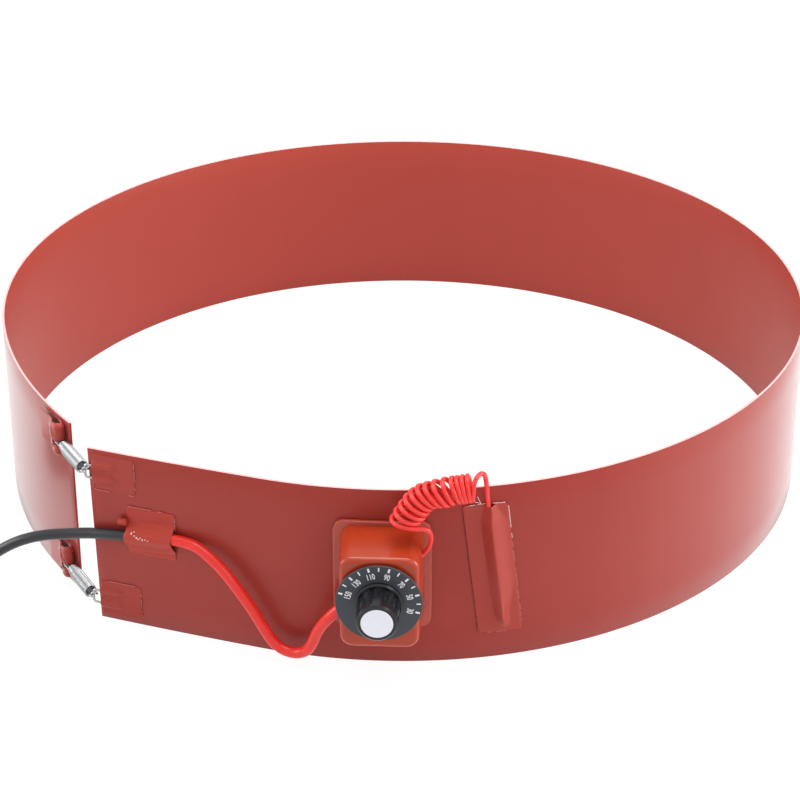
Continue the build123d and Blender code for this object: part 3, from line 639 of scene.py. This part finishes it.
def capillary_points():
    """Out of the cover, round the fanned turns of the coil and down to the pocket."""
    out_of_cover = [
        on_cover(0.0204, 0.0180, 0.0852),
        on_cover(0.0280, 0.0180, 0.0926),
        on_cover(0.0306, 0.0190, 0.1004),
        on_cover(0.0303, 0.0202, 0.1072),
        on_cover(0.0266, 0.0222, 0.1110),
        on_cover(0.0206, 0.0240, 0.1116),
    ]
    # Middle of each turn, how far its plane leans and its radius, as they fan out
    turns = (
        (0.0000, -0.2990, 0.1122, 2, 0.0082),
        (0.0014, -0.2985, 0.1154, 14, 0.0084),
        (0.0042, -0.2980, 0.1190, 22, 0.0085),
        (0.0067, -0.2975, 0.1226, 27, 0.0085),
        (0.0094, -0.2970, 0.1261, 32, 0.0085),
        (0.0128, -0.2965, 0.1287, 38, 0.0088),
        (0.0165, -0.2960, 0.1297, 43, 0.0090),
        (0.0209, -0.2955, 0.1301, 48, 0.0092),
        (0.0252, -0.2950, 0.1313, 54, 0.0088),
        (0.0302, -0.2945, 0.1323, 62, 0.0084),
        (0.0331, -0.2940, 0.1322, 67, 0.0083),
        (0.0354, -0.2935, 0.1322, 71, 0.0082),
        (0.0383, -0.2930, 0.1325, 76, 0.0082),
        (0.0405, -0.2927, 0.1328, 82, 0.0080),
    )
    coil = []
    per_turn, first, flattened = 16, 4, 0.9
    last = per_turn * (len(turns) - 1) + 3
    for index in range(first, last + 1):
        turn = min(index // per_turn, len(turns) - 2)
        share = index / per_turn - turn
        x, y, z, lean, radius = [a + (b - a) * share for a, b in zip(turns[turn], turns[turn + 1])]
        across = Vector((cos(radians(lean)), 0, -sin(radians(lean))))
        angle = tau * index / per_turn
        ring = across * cos(angle) + Vector((0, -flattened, 0)) * sin(angle)
        coil.append(tuple(Vector((x, y, z)) + radius * ring))
    to_pocket = [
        (0.0417, -0.2991, 0.1348),
        (0.0420, -0.2984, 0.1392),
        (0.0440, -0.2953, 0.1424),
        (0.0467, -0.2912, 0.1424),
        (0.0488, -0.2880, 0.1392),
        (0.0497, -0.2866, 0.1340),
        (0.0505, -0.2838, 0.1262),
        (0.05105, -0.28006, 0.11761),
        (0.05164, -0.27994, 0.11264),
    ]
    return out_of_cover + coil + to_pocket


capillary = make_cord(
    "capillary_run",
    capillary_points(),
    CAPILLARY_DIAMETER,
    sleeve_rubber,
    length=0.74,
    far_end="object",
    stiffness="limp",
    lay="coiled",
)
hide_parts("capillary_lower", "capillary_coil", "capillary_upper")


# The mat: a strip cut flat, laid round the ring

def make_mat():
    """The whole strip, a little askew at its near end; its inner face gets a brighter copy of the rubber,
    painted light for the light bounced inside the ring.
    """
    slant_length = 0.08
    mat = bench("heater_mat_strip", "grid", x_subdivisions=290, y_subdivisions=6, size=1)
    pick_all()
    bpy.ops.transform.resize(value=(BAND_LENGTH, BAND_WIDTH, 1))
    bpy.ops.transform.translate(value=(BAND_LENGTH / 2, BAND_WIDTH / 2, -BAND_THICKNESS / 2))
    off_bench(mat)
    uv_in_metres(mat, BAND_LENGTH, BAND_WIDTH)
    modify(mat, "SOLIDIFY", thickness=BAND_THICKNESS, offset=1)
    soften(mat, 0.0003, angle=60)
    inner = [face.index for face in mat.data.polygons if face.normal.z < -0.9]
    for vertex in mat.data.vertices:
        along, up, _ = vertex.co
        askew = 0.0005 - 0.0024 * up / BAND_WIDTH
        vertex.co.x += askew * (1 - min(along / slant_length, 1)) ** 2
    lay_on_band(mat)
    smooth(mat, 50)
    dress(mat, mat_rubber, replaced=["heater_mat"])
    # The inner face takes the brighter copy, painted bounce light
    mat.data.materials.append(inner_painted_light_rubber)
    for index in inner:
        mat.data.polygons[index].material_index = 1
    return mat


make_mat()


def glued_sheet(name, middle, size, corner, surface, thickness, steps, lean=0.0, skew=0.0):
    """A glued rubber sheet with round corners; surface(x, y) is its top over the mat, and its rim sinks."""
    half_x, half_y = size[0] / 2, size[1] / 2
    rim, sunk = 0.0012, min(thickness, 0.0003)
    sheet = bench(name, "grid", x_subdivisions=steps[0], y_subdivisions=steps[1], size=1)
    pick_all()
    bpy.ops.transform.resize(value=(*size, 1))
    off_bench(sheet)
    uv_in_metres(sheet, *size)
    for vertex in sheet.data.vertices:
        x, y, _ = vertex.co
        past_x, past_y = abs(x) - half_x + corner, abs(y) - half_y + corner
        if past_x > 0 and past_y > 0:
            reach = max(past_x, past_y) / math.hypot(past_x, past_y)
            x = math.copysign(half_x - corner + past_x * reach, x)
            y = math.copysign(half_y - corner + past_y * reach, y)
        inside = min(half_x - abs(x), half_y - abs(y))
        height = BAND_SEAT + surface(x, y) - sunk * (1 - ease(inside / rim))
        vertex.co = (x, y - skew * x, height)
    modify(sheet, "SOLIDIFY", thickness=thickness, offset=-1)
    soften(sheet, min(0.0003, thickness / 4))
    place(sheet, Matrix.Translation((*middle, 0)) @ Matrix.Rotation(lean, 4, "Z"))
    lay_on_band(sheet)
    smooth(sheet, 45)
    return sheet


# Two patches that hold the wire staples

def outline(x, y, half_x, half_y, corner, width):
    """Smooth ridge along a rounded rectangle's outline."""
    past_x, past_y = max(abs(x) - half_x + corner, 0), max(abs(y) - half_y + corner, 0)
    if past_x or past_y:
        distance = math.hypot(past_x, past_y) - corner
    else:
        distance = max(abs(x) - half_x, abs(y) - half_y)
    return bulge(distance, width)


def patch_surface(x, y):
    """Raised over the staple's two legs, with a faint ridge rolled round them."""
    legs = bulge(max(x + 0.002, 0), 0.006) * bulge(max(abs(abs(y) - 0.0045) - 0.0006, 0), 0.0034)
    rolled = outline(x + 0.0095, y, 0.0065, 0.0080, 0.0030, 0.0007)
    return 0.0003 + 0.0017 * legs + 0.00018 * rolled * (1 - 0.8 * legs)


for place_name, height in SPRING_PLACES:
    patch = glued_sheet(
        f"staple_patch_{place_name}",
        (PATCH_ALONG, height),
        (0.029, 0.025),
        0.002,
        patch_surface,
        0.0003,
        steps=(84, 100),
    )
    dress(patch, patch_rubber, replaced=[f"hook_patch_{place_name}"])


# Patch over the joint, raised over the two cords

def joint_surface(x, y):
    """A ridge that climbs to the right, with the print of the wires and a rolled right edge."""
    middle = -0.0020 + 0.003 * (x + 0.018) / 0.036
    ridge = bulge(y - middle, 0.0140 if y < middle else 0.0085)
    wires = sin((y - 0.005) / 0.0017 * tau) * bulge(x - 0.008, 0.011) * bulge(y - 0.0100, 0.006)
    rolled = bulge(x - 0.0158, 0.0006)
    return 0.0004 + 0.0079 * ridge + 0.00010 * wires + 0.0002 * rolled


def push_left_edge(sheet, edge_along, reach, push):
    """Pushes the raised part of a sheet's left edge to the right, so that it slants like a pulled lip."""
    outwards = band_frame(edge_along, 0, 0).to_3x3() @ Vector((0, 0, 1))
    rightwards = band_frame(0.03, 0, 0).to_3x3() @ Vector((1, 0, 0))
    for vertex in sheet.data.vertices:
        from_edge = vertex.co - band_place(edge_along, vertex.co.z, 0)
        raised = max(from_edge.dot(outwards) - 0.002, 0)
        vertex.co += (1 - ease(from_edge.xy.length / reach)) * push * raised * rightwards


joint = glued_sheet(
    "joint_sheet", JOINT_MIDDLE, (0.033, 0.034), 0.001, joint_surface, 0.0004, steps=(72, 110)
)
push_left_edge(joint, 0.0235, 0.012, 0.45)
dress(joint, joint_rubber, replaced=["joint_patch"])


def make_flecks(name, spots, surface, middle):
    """Flecks of dried glue: each one's place on the sheet, its length, width and turn in degrees."""
    flecks = []
    for along, up, length, width, turn in spots:
        fleck = bench("fleck", "ico_sphere", subdivisions=2, radius=1)
        pick_all()
        bpy.ops.transform.resize(value=(length / 2, width / 2, width / 3))
        off_bench(fleck)
        place(fleck, Matrix.Rotation(radians(turn), 4, "Z"))
        spot = (middle[0] + along, middle[1] + up, BAND_SEAT + surface(along, up))
        place(fleck, Matrix.Translation(spot))
        lay_on_band(fleck)
        flecks.append(fleck)
    piece = join(name, *flecks)
    smooth(piece, 60)
    return dress(piece, glue_white)


make_flecks(
    "joint_glue_flecks",
    [
        (-0.0108, 0.0014, 0.0024, 0.0012, 75),
        (-0.0094, 0.0024, 0.0015, 0.0008, 30),
        (-0.0084, 0.0006, 0.0020, 0.0008, 80),
        (-0.0068, 0.0000, 0.0016, 0.0009, 60),
        (-0.0056, -0.0006, 0.0018, 0.0007, 120),
        (-0.0041, 0.0002, 0.0016, 0.0007, 70),
        (-0.0026, -0.0006, 0.0015, 0.0008, 110),
        (-0.0008, -0.0002, 0.0015, 0.0006, 60),
        (0.0010, -0.0006, 0.0011, 0.0006, 40),
    ],
    joint_surface,
    JOINT_MIDDLE,
)


def make_sleeve_stub():
    """Cut end of the lead's inner sleeve, open at its mouth."""
    stub = bench("sleeve_stub", "cylinder", vertices=28, radius=0.0023, depth=0.006)
    pick("FACE", lambda middle, normal: normal.z > 0.9)
    bpy.ops.mesh.inset(thickness=0.0009)
    bpy.ops.mesh.extrude_region_move(TRANSFORM_OT_translate={"value": (0, 0, -0.003)})
    off_bench(stub)
    soften(stub, 0.0003)
    place(stub, band_frame(0.0215, 0.0775, BAND_SEAT + 0.0025) @ Matrix.Rotation(radians(-90), 4, "Y"))
    smooth(stub)
    return dress(stub, joint_rubber, replaced=["lead_sleeve_end"])


make_sleeve_stub()


# Folded loops at the far end, each round its pin, slotted for the spring's hook

def make_far_loop(place_name, height):
    """A strap folded round its pin, with its pleats in front and its back layer on the mat."""
    width, straight, layer = 0.025, 0.026, 0.0012
    around = PIN_RADIUS + 0.0002 + layer
    half_turn = pi * around
    run = 2 * straight + half_turn
    loop = bench(f"folded_loop_{place_name}", "grid", x_subdivisions=72, y_subdivisions=50, size=1)
    pick_all()
    bpy.ops.transform.resize(value=(run, width, 1))
    slot_x, slot_y = half_turn / 2 + 0.0045, 0.0022
    pick("FACE", lambda middle, normal: abs(middle.y) < slot_y and abs(middle.x) < slot_x)
    bpy.ops.mesh.delete(type="FACE")
    off_bench(loop)
    uv_in_metres(loop, run, width)
    for vertex in loop.data.vertices:
        along, y, _ = vertex.co
        past_pin = abs(along) - half_turn / 2
        spread = math.degrees(math.atan2(y, past_pin + 0.002))
        folds = bulge(spread - 28, 11) + bulge(spread - 58, 11) + bulge(spread + 40, 14)
        pleat = 0.0013 * folds * bulge(math.hypot(y, past_pin) - 0.008, 0.008)
        if past_pin <= 0:
            angle = along / around
            x, z = around * cos(angle), PIN_OUT + around * sin(angle)
        elif along > 0:
            settled = ease(past_pin / 0.012)
            top = (PIN_OUT + around) * (1 - settled) + (BAND_SEAT + 2 * layer) * settled
            x, z = -past_pin, top + pleat
        else:
            x, z = -past_pin, PIN_OUT - around
        pinch = 0.75 * ease((abs(y) - 0.0113) / 0.0012) * (1 - ease(-x / 0.006))
        up = height + (y if y > 0 else 0.66 * y)
        vertex.co = (PIN_ALONG + x * (1 - pinch), up, z + (PIN_OUT - 0.001 - z) * pinch)
    modify(loop, "SOLIDIFY", thickness=layer * 0.85, offset=-1)
    lay_on_band(loop)
    smooth(loop, 45)
    return dress(loop, loop_rubber, replaced=[f"far_loop_{place_name}"])


def make_loop_pin(place_name, height):
    """The short steel pin that the folded loop holds."""
    pin = bench(f"loop_pin_{place_name}", "cylinder", vertices=24, radius=PIN_RADIUS, depth=0.0195)
    off_bench(pin)
    soften(pin, 0.0003)
    place(pin, band_frame(PIN_ALONG, height + 0.0020, PIN_OUT) @ Matrix.Rotation(radians(-90), 4, "X"))
    smooth(pin, 40)
    return dress(pin, wire_steel, replaced=[f"far_pin_{place_name}"])


for place_name, height in SPRING_PLACES:
    make_far_loop(place_name, height)
    make_loop_pin(place_name, height)


# Tension springs: close turns of wire and a hook at each end

def make_spring(place_name, height):
    """Hangs from the far loop's pin to the near staple; its turns are narrower by the pin."""
    wire, body_radius, hook_wire, hook_radius = 0.0012, 0.0038, 0.0015, 0.0024
    hooks_length, toward_near, pitch = 0.0118, 0.0008, 1.04
    inside_hook, gap = hook_radius - hook_wire / 2, 0.0002
    far_pin = band_place(PIN_ALONG, height, PIN_OUT)
    near_bar = band_place(STAPLE_ALONG, height, STAPLE_OUT)
    span = (near_bar - far_pin).length
    body = span - hooks_length
    turns = int(body / (wire * pitch))
    coil = bench(f"spring_turns_{place_name}", "circle", vertices=10, radius=wire / 2, fill_type="NGON")
    pick_all()
    bpy.ops.transform.rotate(value=radians(90), orient_axis="X", center_override=(0, 0, 0))
    bpy.ops.transform.translate(value=(body_radius, 0, -body / 2))
    off_bench(coil)
    modify(
        coil,
        "SCREW",
        axis="Z",
        angle=tau,
        screw_offset=body / turns,
        iterations=turns,
        steps=26,
        render_steps=26,
        use_merge_vertices=False,
    )
    for vertex in coil.data.vertices:
        x, y, z = vertex.co
        narrow = 1 - 0.24 * (1 - ease((z + body / 2) / (0.3 * body)))
        vertex.co = (x * narrow, y * narrow, z + toward_near)
    hooks = []
    for side, held_radius in ((1, STAPLE_RADIUS), (-1, PIN_RADIUS)):
        centre = span / 2 + held_radius + gap - inside_hook
        stem = centre - body / 2 + wire
        hook = bench(
            f"spring_hook_{place_name}", "circle", vertices=10, radius=hook_wire / 2, fill_type="NGON"
        )
        pick_all()
        bpy.ops.transform.translate(value=(hook_radius, 0, body / 2 - wire))
        bpy.ops.mesh.extrude_region_move(TRANSFORM_OT_translate={"value": (0, 0, stem)})
        bpy.ops.mesh.spin(steps=22, angle=radians(-250), center=(0, 0, centre), axis=(0, 1, 0))
        off_bench(hook)
        if side < 0:
            place(hook, Matrix.Rotation(pi, 4, "Y"))
        hooks.append(hook)
    spring = join(f"tension_spring_{place_name}", coil, *hooks)
    outward(spring)
    direction, upright = (near_bar - far_pin).normalized(), Vector((0, 0, 1))
    turn = Matrix((upright.cross(direction), upright, direction)).transposed().to_4x4()
    place(spring, Matrix.Translation((far_pin + near_bar) / 2) @ turn)
    smooth(spring, 60)
    return dress(spring, spring_steel, replaced=[f"spring_{place_name}"])


for place_name, height in SPRING_PLACES:
    make_spring(place_name, height)


# Thermostat cover: a thin flange laid on the band and a deep box on it

def make_cover():
    """The flange follows the band; the box stands square on it and narrows to its front."""
    flange_x, flange_y, corner, flange_thickness = 0.03025, 0.038, 0.007, 0.003
    box_x, box_y, box_depth = 0.052, 0.067, 0.0363
    front_x, front_y, front = 0.0482, 0.0632, flange_thickness + box_depth
    flange = bench("cover_flange", "grid", x_subdivisions=40, y_subdivisions=4, size=1)
    pick_all()
    bpy.ops.transform.resize(value=(2 * flange_x, 2 * flange_y, 1))
    bpy.ops.transform.translate(value=(0, 0, BAND_SEAT))
    off_bench(flange)
    for vertex in flange.data.vertices:
        past_x = abs(vertex.co.x) - flange_x + corner
        if past_x > 0:
            limit = flange_y - corner + math.sqrt(max(corner * corner - past_x * past_x, 0))
            vertex.co.y *= limit / flange_y
    modify(flange, "SOLIDIFY", thickness=flange_thickness, offset=1)
    soften(flange, 0.0008, segments=3)
    place(flange, Matrix.Translation((COVER_ALONG, 0.066, 0)))
    lay_on_band(flange)
    box = bench("cover_box", "cube", size=1)
    pick_all()
    bpy.ops.transform.resize(value=(box_x, box_y, box_depth))
    bpy.ops.transform.translate(value=(0, 0, flange_thickness + box_depth / 2))
    pick("FACE", lambda middle, normal: normal.z > 0.9)
    bpy.ops.transform.resize(value=(front_x / box_x, front_y / box_y, 1))
    pick("EDGE", lambda middle, direction: abs(direction.normalized().z) > 0.8)
    bpy.ops.mesh.bevel(offset=0.0080, segments=9, affect="EDGES")
    pick("EDGE", lambda middle, direction: middle.z > front - 0.0001)
    bpy.ops.mesh.bevel(offset=0.0030, segments=6, affect="EDGES")
    off_bench(box)
    place(box, band_frame(COVER_ALONG, 0.0675, 0))
    box_faces = len(box.data.polygons)
    cover = join("cover_moulding", box, flange)
    smooth(cover, 40)
    dress(cover, cover_rubber, replaced=["thermostat_cover"])
    cover.data.materials.append(flange_rubber)
    for face in cover.data.polygons[box_faces:]:
        face.material_index = 1
    return cover


make_cover()


# Scale of the dial: thirteen ticks and seven numbers, raised by a coat of paint

def make_tick(angle, width):
    """One line of the scale, at an angle round the knob."""
    tick = bench("tick", "cube", size=1)
    pick_all()
    bpy.ops.transform.resize(value=(0.0027, width, 0.0002))
    bpy.ops.transform.translate(value=(0.0241, 0, DIAL_FRONT))
    off_bench(tick)
    place(tick, Matrix.Rotation(angle, 4, "Z"))
    return tick


def make_number(degrees, angle):
    """One number of the scale, a little squeezed and upright to the knob's middle."""
    data = bpy.data.curves.new(f"number_{degrees}", "FONT")
    data.body = str(degrees)
    data.size = 0.0056
    data.align_x = data.align_y = "CENTER"
    data.extrude = 0.0001
    data.offset = 0.00008
    text = bpy.data.objects.new(f"number_{degrees}", data)
    bpy.context.scene.collection.objects.link(text)
    bpy.ops.object.select_all(action="DESELECT")
    bpy.context.view_layer.objects.active = text
    text.select_set(True)
    bpy.ops.object.convert(target="MESH")
    number = bpy.context.object
    squeeze = Matrix.Diagonal((0.66, 1, 1, 1))
    spot = Matrix.Translation((0, 0.0192, DIAL_FRONT))
    place(number, Matrix.Rotation(angle - pi / 2, 4, "Z") @ spot @ squeeze)
    return number


def make_scale():
    """The printed scale turns with the knob."""
    marks = []
    for degrees in range(30, 151, 10):
        numbered = degrees % 20 == 10
        angle = radians(90 + (degrees - 100) * 1.48)
        marks.append(make_tick(angle, 0.0012 if numbered else 0.0008))
        if numbered:
            marks.append(make_number(degrees, angle))
    scale = join("dial_scale", *marks)
    place(scale, band_frame(COVER_ALONG, KNOB_HEIGHT, 0))
    return dress(scale, print_white, body="knob")


make_scale()


# Sensor pocket: a leaning sheet that stands up over the bulb

def pocket_surface(x, y):
    """Tent over the bulb: steep on the left, long on the right, and pointed at its foot."""
    head, foot = ease((0.047 - y) / 0.014), ease((y + 0.0455) / 0.013)
    peak = (0.0042 + 0.0029 * head) * foot
    crest = 0.0028 - 0.0016 * head * foot
    left = 0.0046 + 0.0012 * head * ease((y + 0.040) / 0.030)
    right = 0.0052 + 0.0072 * head * ease((y + 0.044) / 0.040)
    share = min(abs(x - crest) / (left if x < crest else right), 1)
    return 0.0009 + peak * (1 - share ** 1.35) ** (1.5 if x < crest else 1.9)


pocket = glued_sheet(
    "pocket_sheet",
    POCKET_MIDDLE,
    (0.028, 0.094),
    0.002,
    pocket_surface,
    0.0008,
    steps=(80, 130),
    lean=POCKET_LEAN,
    skew=POCKET_SKEW,
)
dress(pocket, pocket_rubber, replaced=["sensor_pocket"])


def make_bulb():
    """The bulb under the pocket: a brass tube that is swaged to a blunt point at its foot."""
    bulb = bench("sensor_bulb_tube", "cylinder", vertices=32, radius=0.003, depth=0.072)
    pick("FACE", lambda middle, normal: normal.z < -0.9)
    bpy.ops.transform.translate(value=(0, 0, 0.012))
    bpy.ops.mesh.extrude_region_move(TRANSFORM_OT_translate={"value": (0, 0, -0.009)})
    bpy.ops.transform.resize(value=(0.5, 0.5, 1))
    bpy.ops.mesh.extrude_region_move(TRANSFORM_OT_translate={"value": (0, 0, -0.003)})
    bpy.ops.transform.resize(value=(0.4, 0.4, 1))
    off_bench(bulb)
    soften(bulb, 0.0006, segments=3, angle=40)
    place(bulb, Matrix.Translation((0.0017, -0.002, 0.00435)) @ Matrix.Rotation(radians(-90), 4, "X"))
    place(bulb, band_frame(*POCKET_MIDDLE, 0) @ Matrix.Rotation(POCKET_LEAN, 4, "Z"))
    smooth(bulb, 40)
    return dress(bulb, contact_brass, replaced=["sensor_bulb"])


make_bulb()


# Lines of glue by the sheets' outlines, and dark beads of painted shade by the pocket's left edge

def make_seam(name, material, middle, dashes, lean=0.0, width=0.0005, rise=0.0005, skew=0.0):
    """Beads by a sheet's outline; each row of dashes has its two ends, its number and its filled share."""
    beads = []
    for (start_x, start_y), (end_x, end_y), pieces, filled in dashes:
        start_y, end_y = start_y - skew * start_x, end_y - skew * end_x
        run_x, run_y = end_x - start_x, end_y - start_y
        pitch = math.hypot(run_x, run_y) / pieces
        turn = Matrix.Rotation(math.atan2(run_y, run_x), 4, "Z")
        for piece in range(pieces):
            share = (piece + 0.5 + 0.22 * sin(piece * 2.4)) / pieces
            length = pitch * filled * (1 + 0.45 * sin(piece * 1.7))
            bead = bench("bead", "cylinder", vertices=8, radius=width / 2, depth=length)
            off_bench(bead)
            soften(bead, width / 5, segments=1)
            spot = Matrix.Translation((start_x + run_x * share, start_y + run_y * share, rise))
            place(bead, spot @ turn @ Matrix.Rotation(radians(90), 4, "Y"))
            place(bead, Matrix.Translation((*middle, BAND_SEAT)) @ Matrix.Rotation(lean, 4, "Z"))
            lay_on_band(bead)
            beads.append(bead)
    seam = join(name, *beads)
    smooth(seam, 60)
    return dress(seam, material)


make_seam(
    "pocket_glue_line",
    glue_white,
    POCKET_MIDDLE,
    (
        ((-0.0130, 0.0462), (-0.0050, 0.0474), 3, 0.8),
        ((-0.0050, 0.0474), (-0.0008, 0.0476), 2, 1.05),
        ((0.0046, 0.0475), (0.0130, 0.0474), 3, 1.05),
        ((-0.0026, 0.0480), (-0.0040, 0.0522), 2, 1.0),
        ((-0.0026, 0.0480), (-0.0060, 0.0492), 1, 1.0),
        ((0.0142, 0.0450), (0.0142, 0.0210), 4, 0.95),
    ),
    lean=POCKET_LEAN,
    skew=POCKET_SKEW,
)
make_seam(
    "pocket_glue_trace",
    glue_pink,
    POCKET_MIDDLE,
    (((0.0142, 0.0190), (0.0142, -0.0445), 11, 0.6), ((-0.0100, -0.0474), (0.0060, -0.0474), 3, 0.5)),
    width=0.0004,
    lean=POCKET_LEAN,
    skew=POCKET_SKEW,
)
# Dark beads along the pocket's left edge, its shaded side: painted shade
make_seam(
    "pocket_left_painted_shade",
    painted_shade_dark,
    POCKET_MIDDLE,
    (((-0.0142, 0.0430), (-0.0142, 0.0020), 12, 0.5), ((-0.0142, 0.0020), (-0.0142, -0.0440), 9, 0.4)),
    rise=0.0002,
    lean=POCKET_LEAN,
    skew=POCKET_SKEW,
)
make_seam(
    "upper_patch_glue_line",
    glue_pink,
    (PATCH_ALONG, SPRING_PLACES[0][1]),
    (
        ((-0.0143, -0.0070), (-0.0141, -0.0112), 1, 1.0),
        ((-0.0136, -0.0121), (-0.0122, -0.0127), 1, 1.1),
        ((-0.0118, -0.0128), (-0.0040, -0.0128), 2, 0.95),
        ((0.0100, -0.0128), (0.0135, -0.0128), 1, 1.0),
        ((0.0147, 0.0110), (0.0147, -0.0090), 4, 0.7),
    ),
)
make_seam(
    "lower_patch_glue_line",
    glue_pink,
    (PATCH_ALONG, SPRING_PLACES[1][1]),
    (((-0.0080, 0.0127), (0.0130, 0.0127), 3, 0.95), ((0.0147, 0.0090), (0.0147, -0.0110), 5, 0.5)),
)
make_seam(
    "joint_glue_line",
    glue_pink,
    JOINT_MIDDLE,
    (((-0.0155, 0.0172), (0.0090, 0.0172), 4, 0.9), ((0.0168, 0.0150), (0.0168, 0.0065), 2, 0.9)),
)


# Floor, sky and lamps

def make_stage():
    """White paper that glows a little where the camera sees it."""
    floor = bench("floor", "plane", size=12)
    off_bench(floor)
    material, tree, skin, _ = finish("floor_paper")
    set_skin(skin, Base_Color=(0.92, 0.92, 0.92, 1), Roughness=0.9, Specular_IOR_Level=0.1)
    glow = shader(tree, "ShaderNodeEmission", {"Color": (1, 1, 1, 1), "Strength": 1.08})
    path = tree.nodes.new("ShaderNodeLightPath")
    seen = math_node(tree, "MAXIMUM", path.outputs["Is Camera Ray"], path.outputs["Is Glossy Ray"])
    share = math_node(tree, "MULTIPLY", seen, 0.84)
    mixed = shader(tree, "ShaderNodeMixShader", {0: share, 1: skin.outputs[0], 2: glow.outputs[0]})
    tree.links.new(mixed.outputs[0], tree.nodes["Material Output"].inputs["Surface"])
    floor.data.materials.append(material)


def make_sky():
    """Soft white light from all round, and plain white where the camera sees it."""
    world = bpy.data.worlds.new("studio")
    world.use_nodes = True
    tree = world.node_tree
    tree.nodes.clear()
    path = tree.nodes.new("ShaderNodeLightPath")
    seen = math_node(tree, "MAXIMUM", path.outputs["Is Camera Ray"], path.outputs["Is Glossy Ray"])
    seen = math_node(tree, "MAXIMUM", seen, path.outputs["Is Transmission Ray"])
    strength = shader(tree, "ShaderNodeMapRange", {0: seen, 3: 0.55, 4: 1.0})
    light = shader(tree, "ShaderNodeBackground", {"Color": (1, 1, 1, 1), "Strength": strength.outputs[0]})
    output = tree.nodes.new("ShaderNodeOutputWorld")
    tree.links.new(light.outputs[0], output.inputs["Surface"])
    bpy.context.scene.world = world


def lamp(name, place_at, size, power, aim=(0, 0, 0.05)):
    """A soft lamp with a size in metres and a power in watts, aimed at the band."""
    data = bpy.data.lights.new(name, "AREA")
    data.shape = "RECTANGLE"
    data.size, data.size_y = size
    data.energy = power
    light = bpy.data.objects.new(name, data)
    light.location = place_at
    light.rotation_euler = (Vector(aim) - Vector(place_at)).to_track_quat("-Z", "Y").to_euler()
    bpy.context.scene.collection.objects.link(light)


make_stage()
make_sky()
lamp("top_softbox", (0.1, -0.1, 1.9), (1.6, 1.6), 16)
lamp("front_softbox", (1.1, -1.7, 1.2), (1.0, 0.8), 6)
lamp("left_strip", (-1.5, -0.1, 0.5), (1.2, 0.8), 10)
lamp("right_strip", (1.5, -0.1, 0.5), (1.2, 0.8), 16)
lamp("inner_softbox", (0.0, -0.05, 1.0), (0.9, 0.5), 4.2, aim=(0, 0.30, 0.05))

bpy.context.scene.view_settings.view_transform = "Standard"
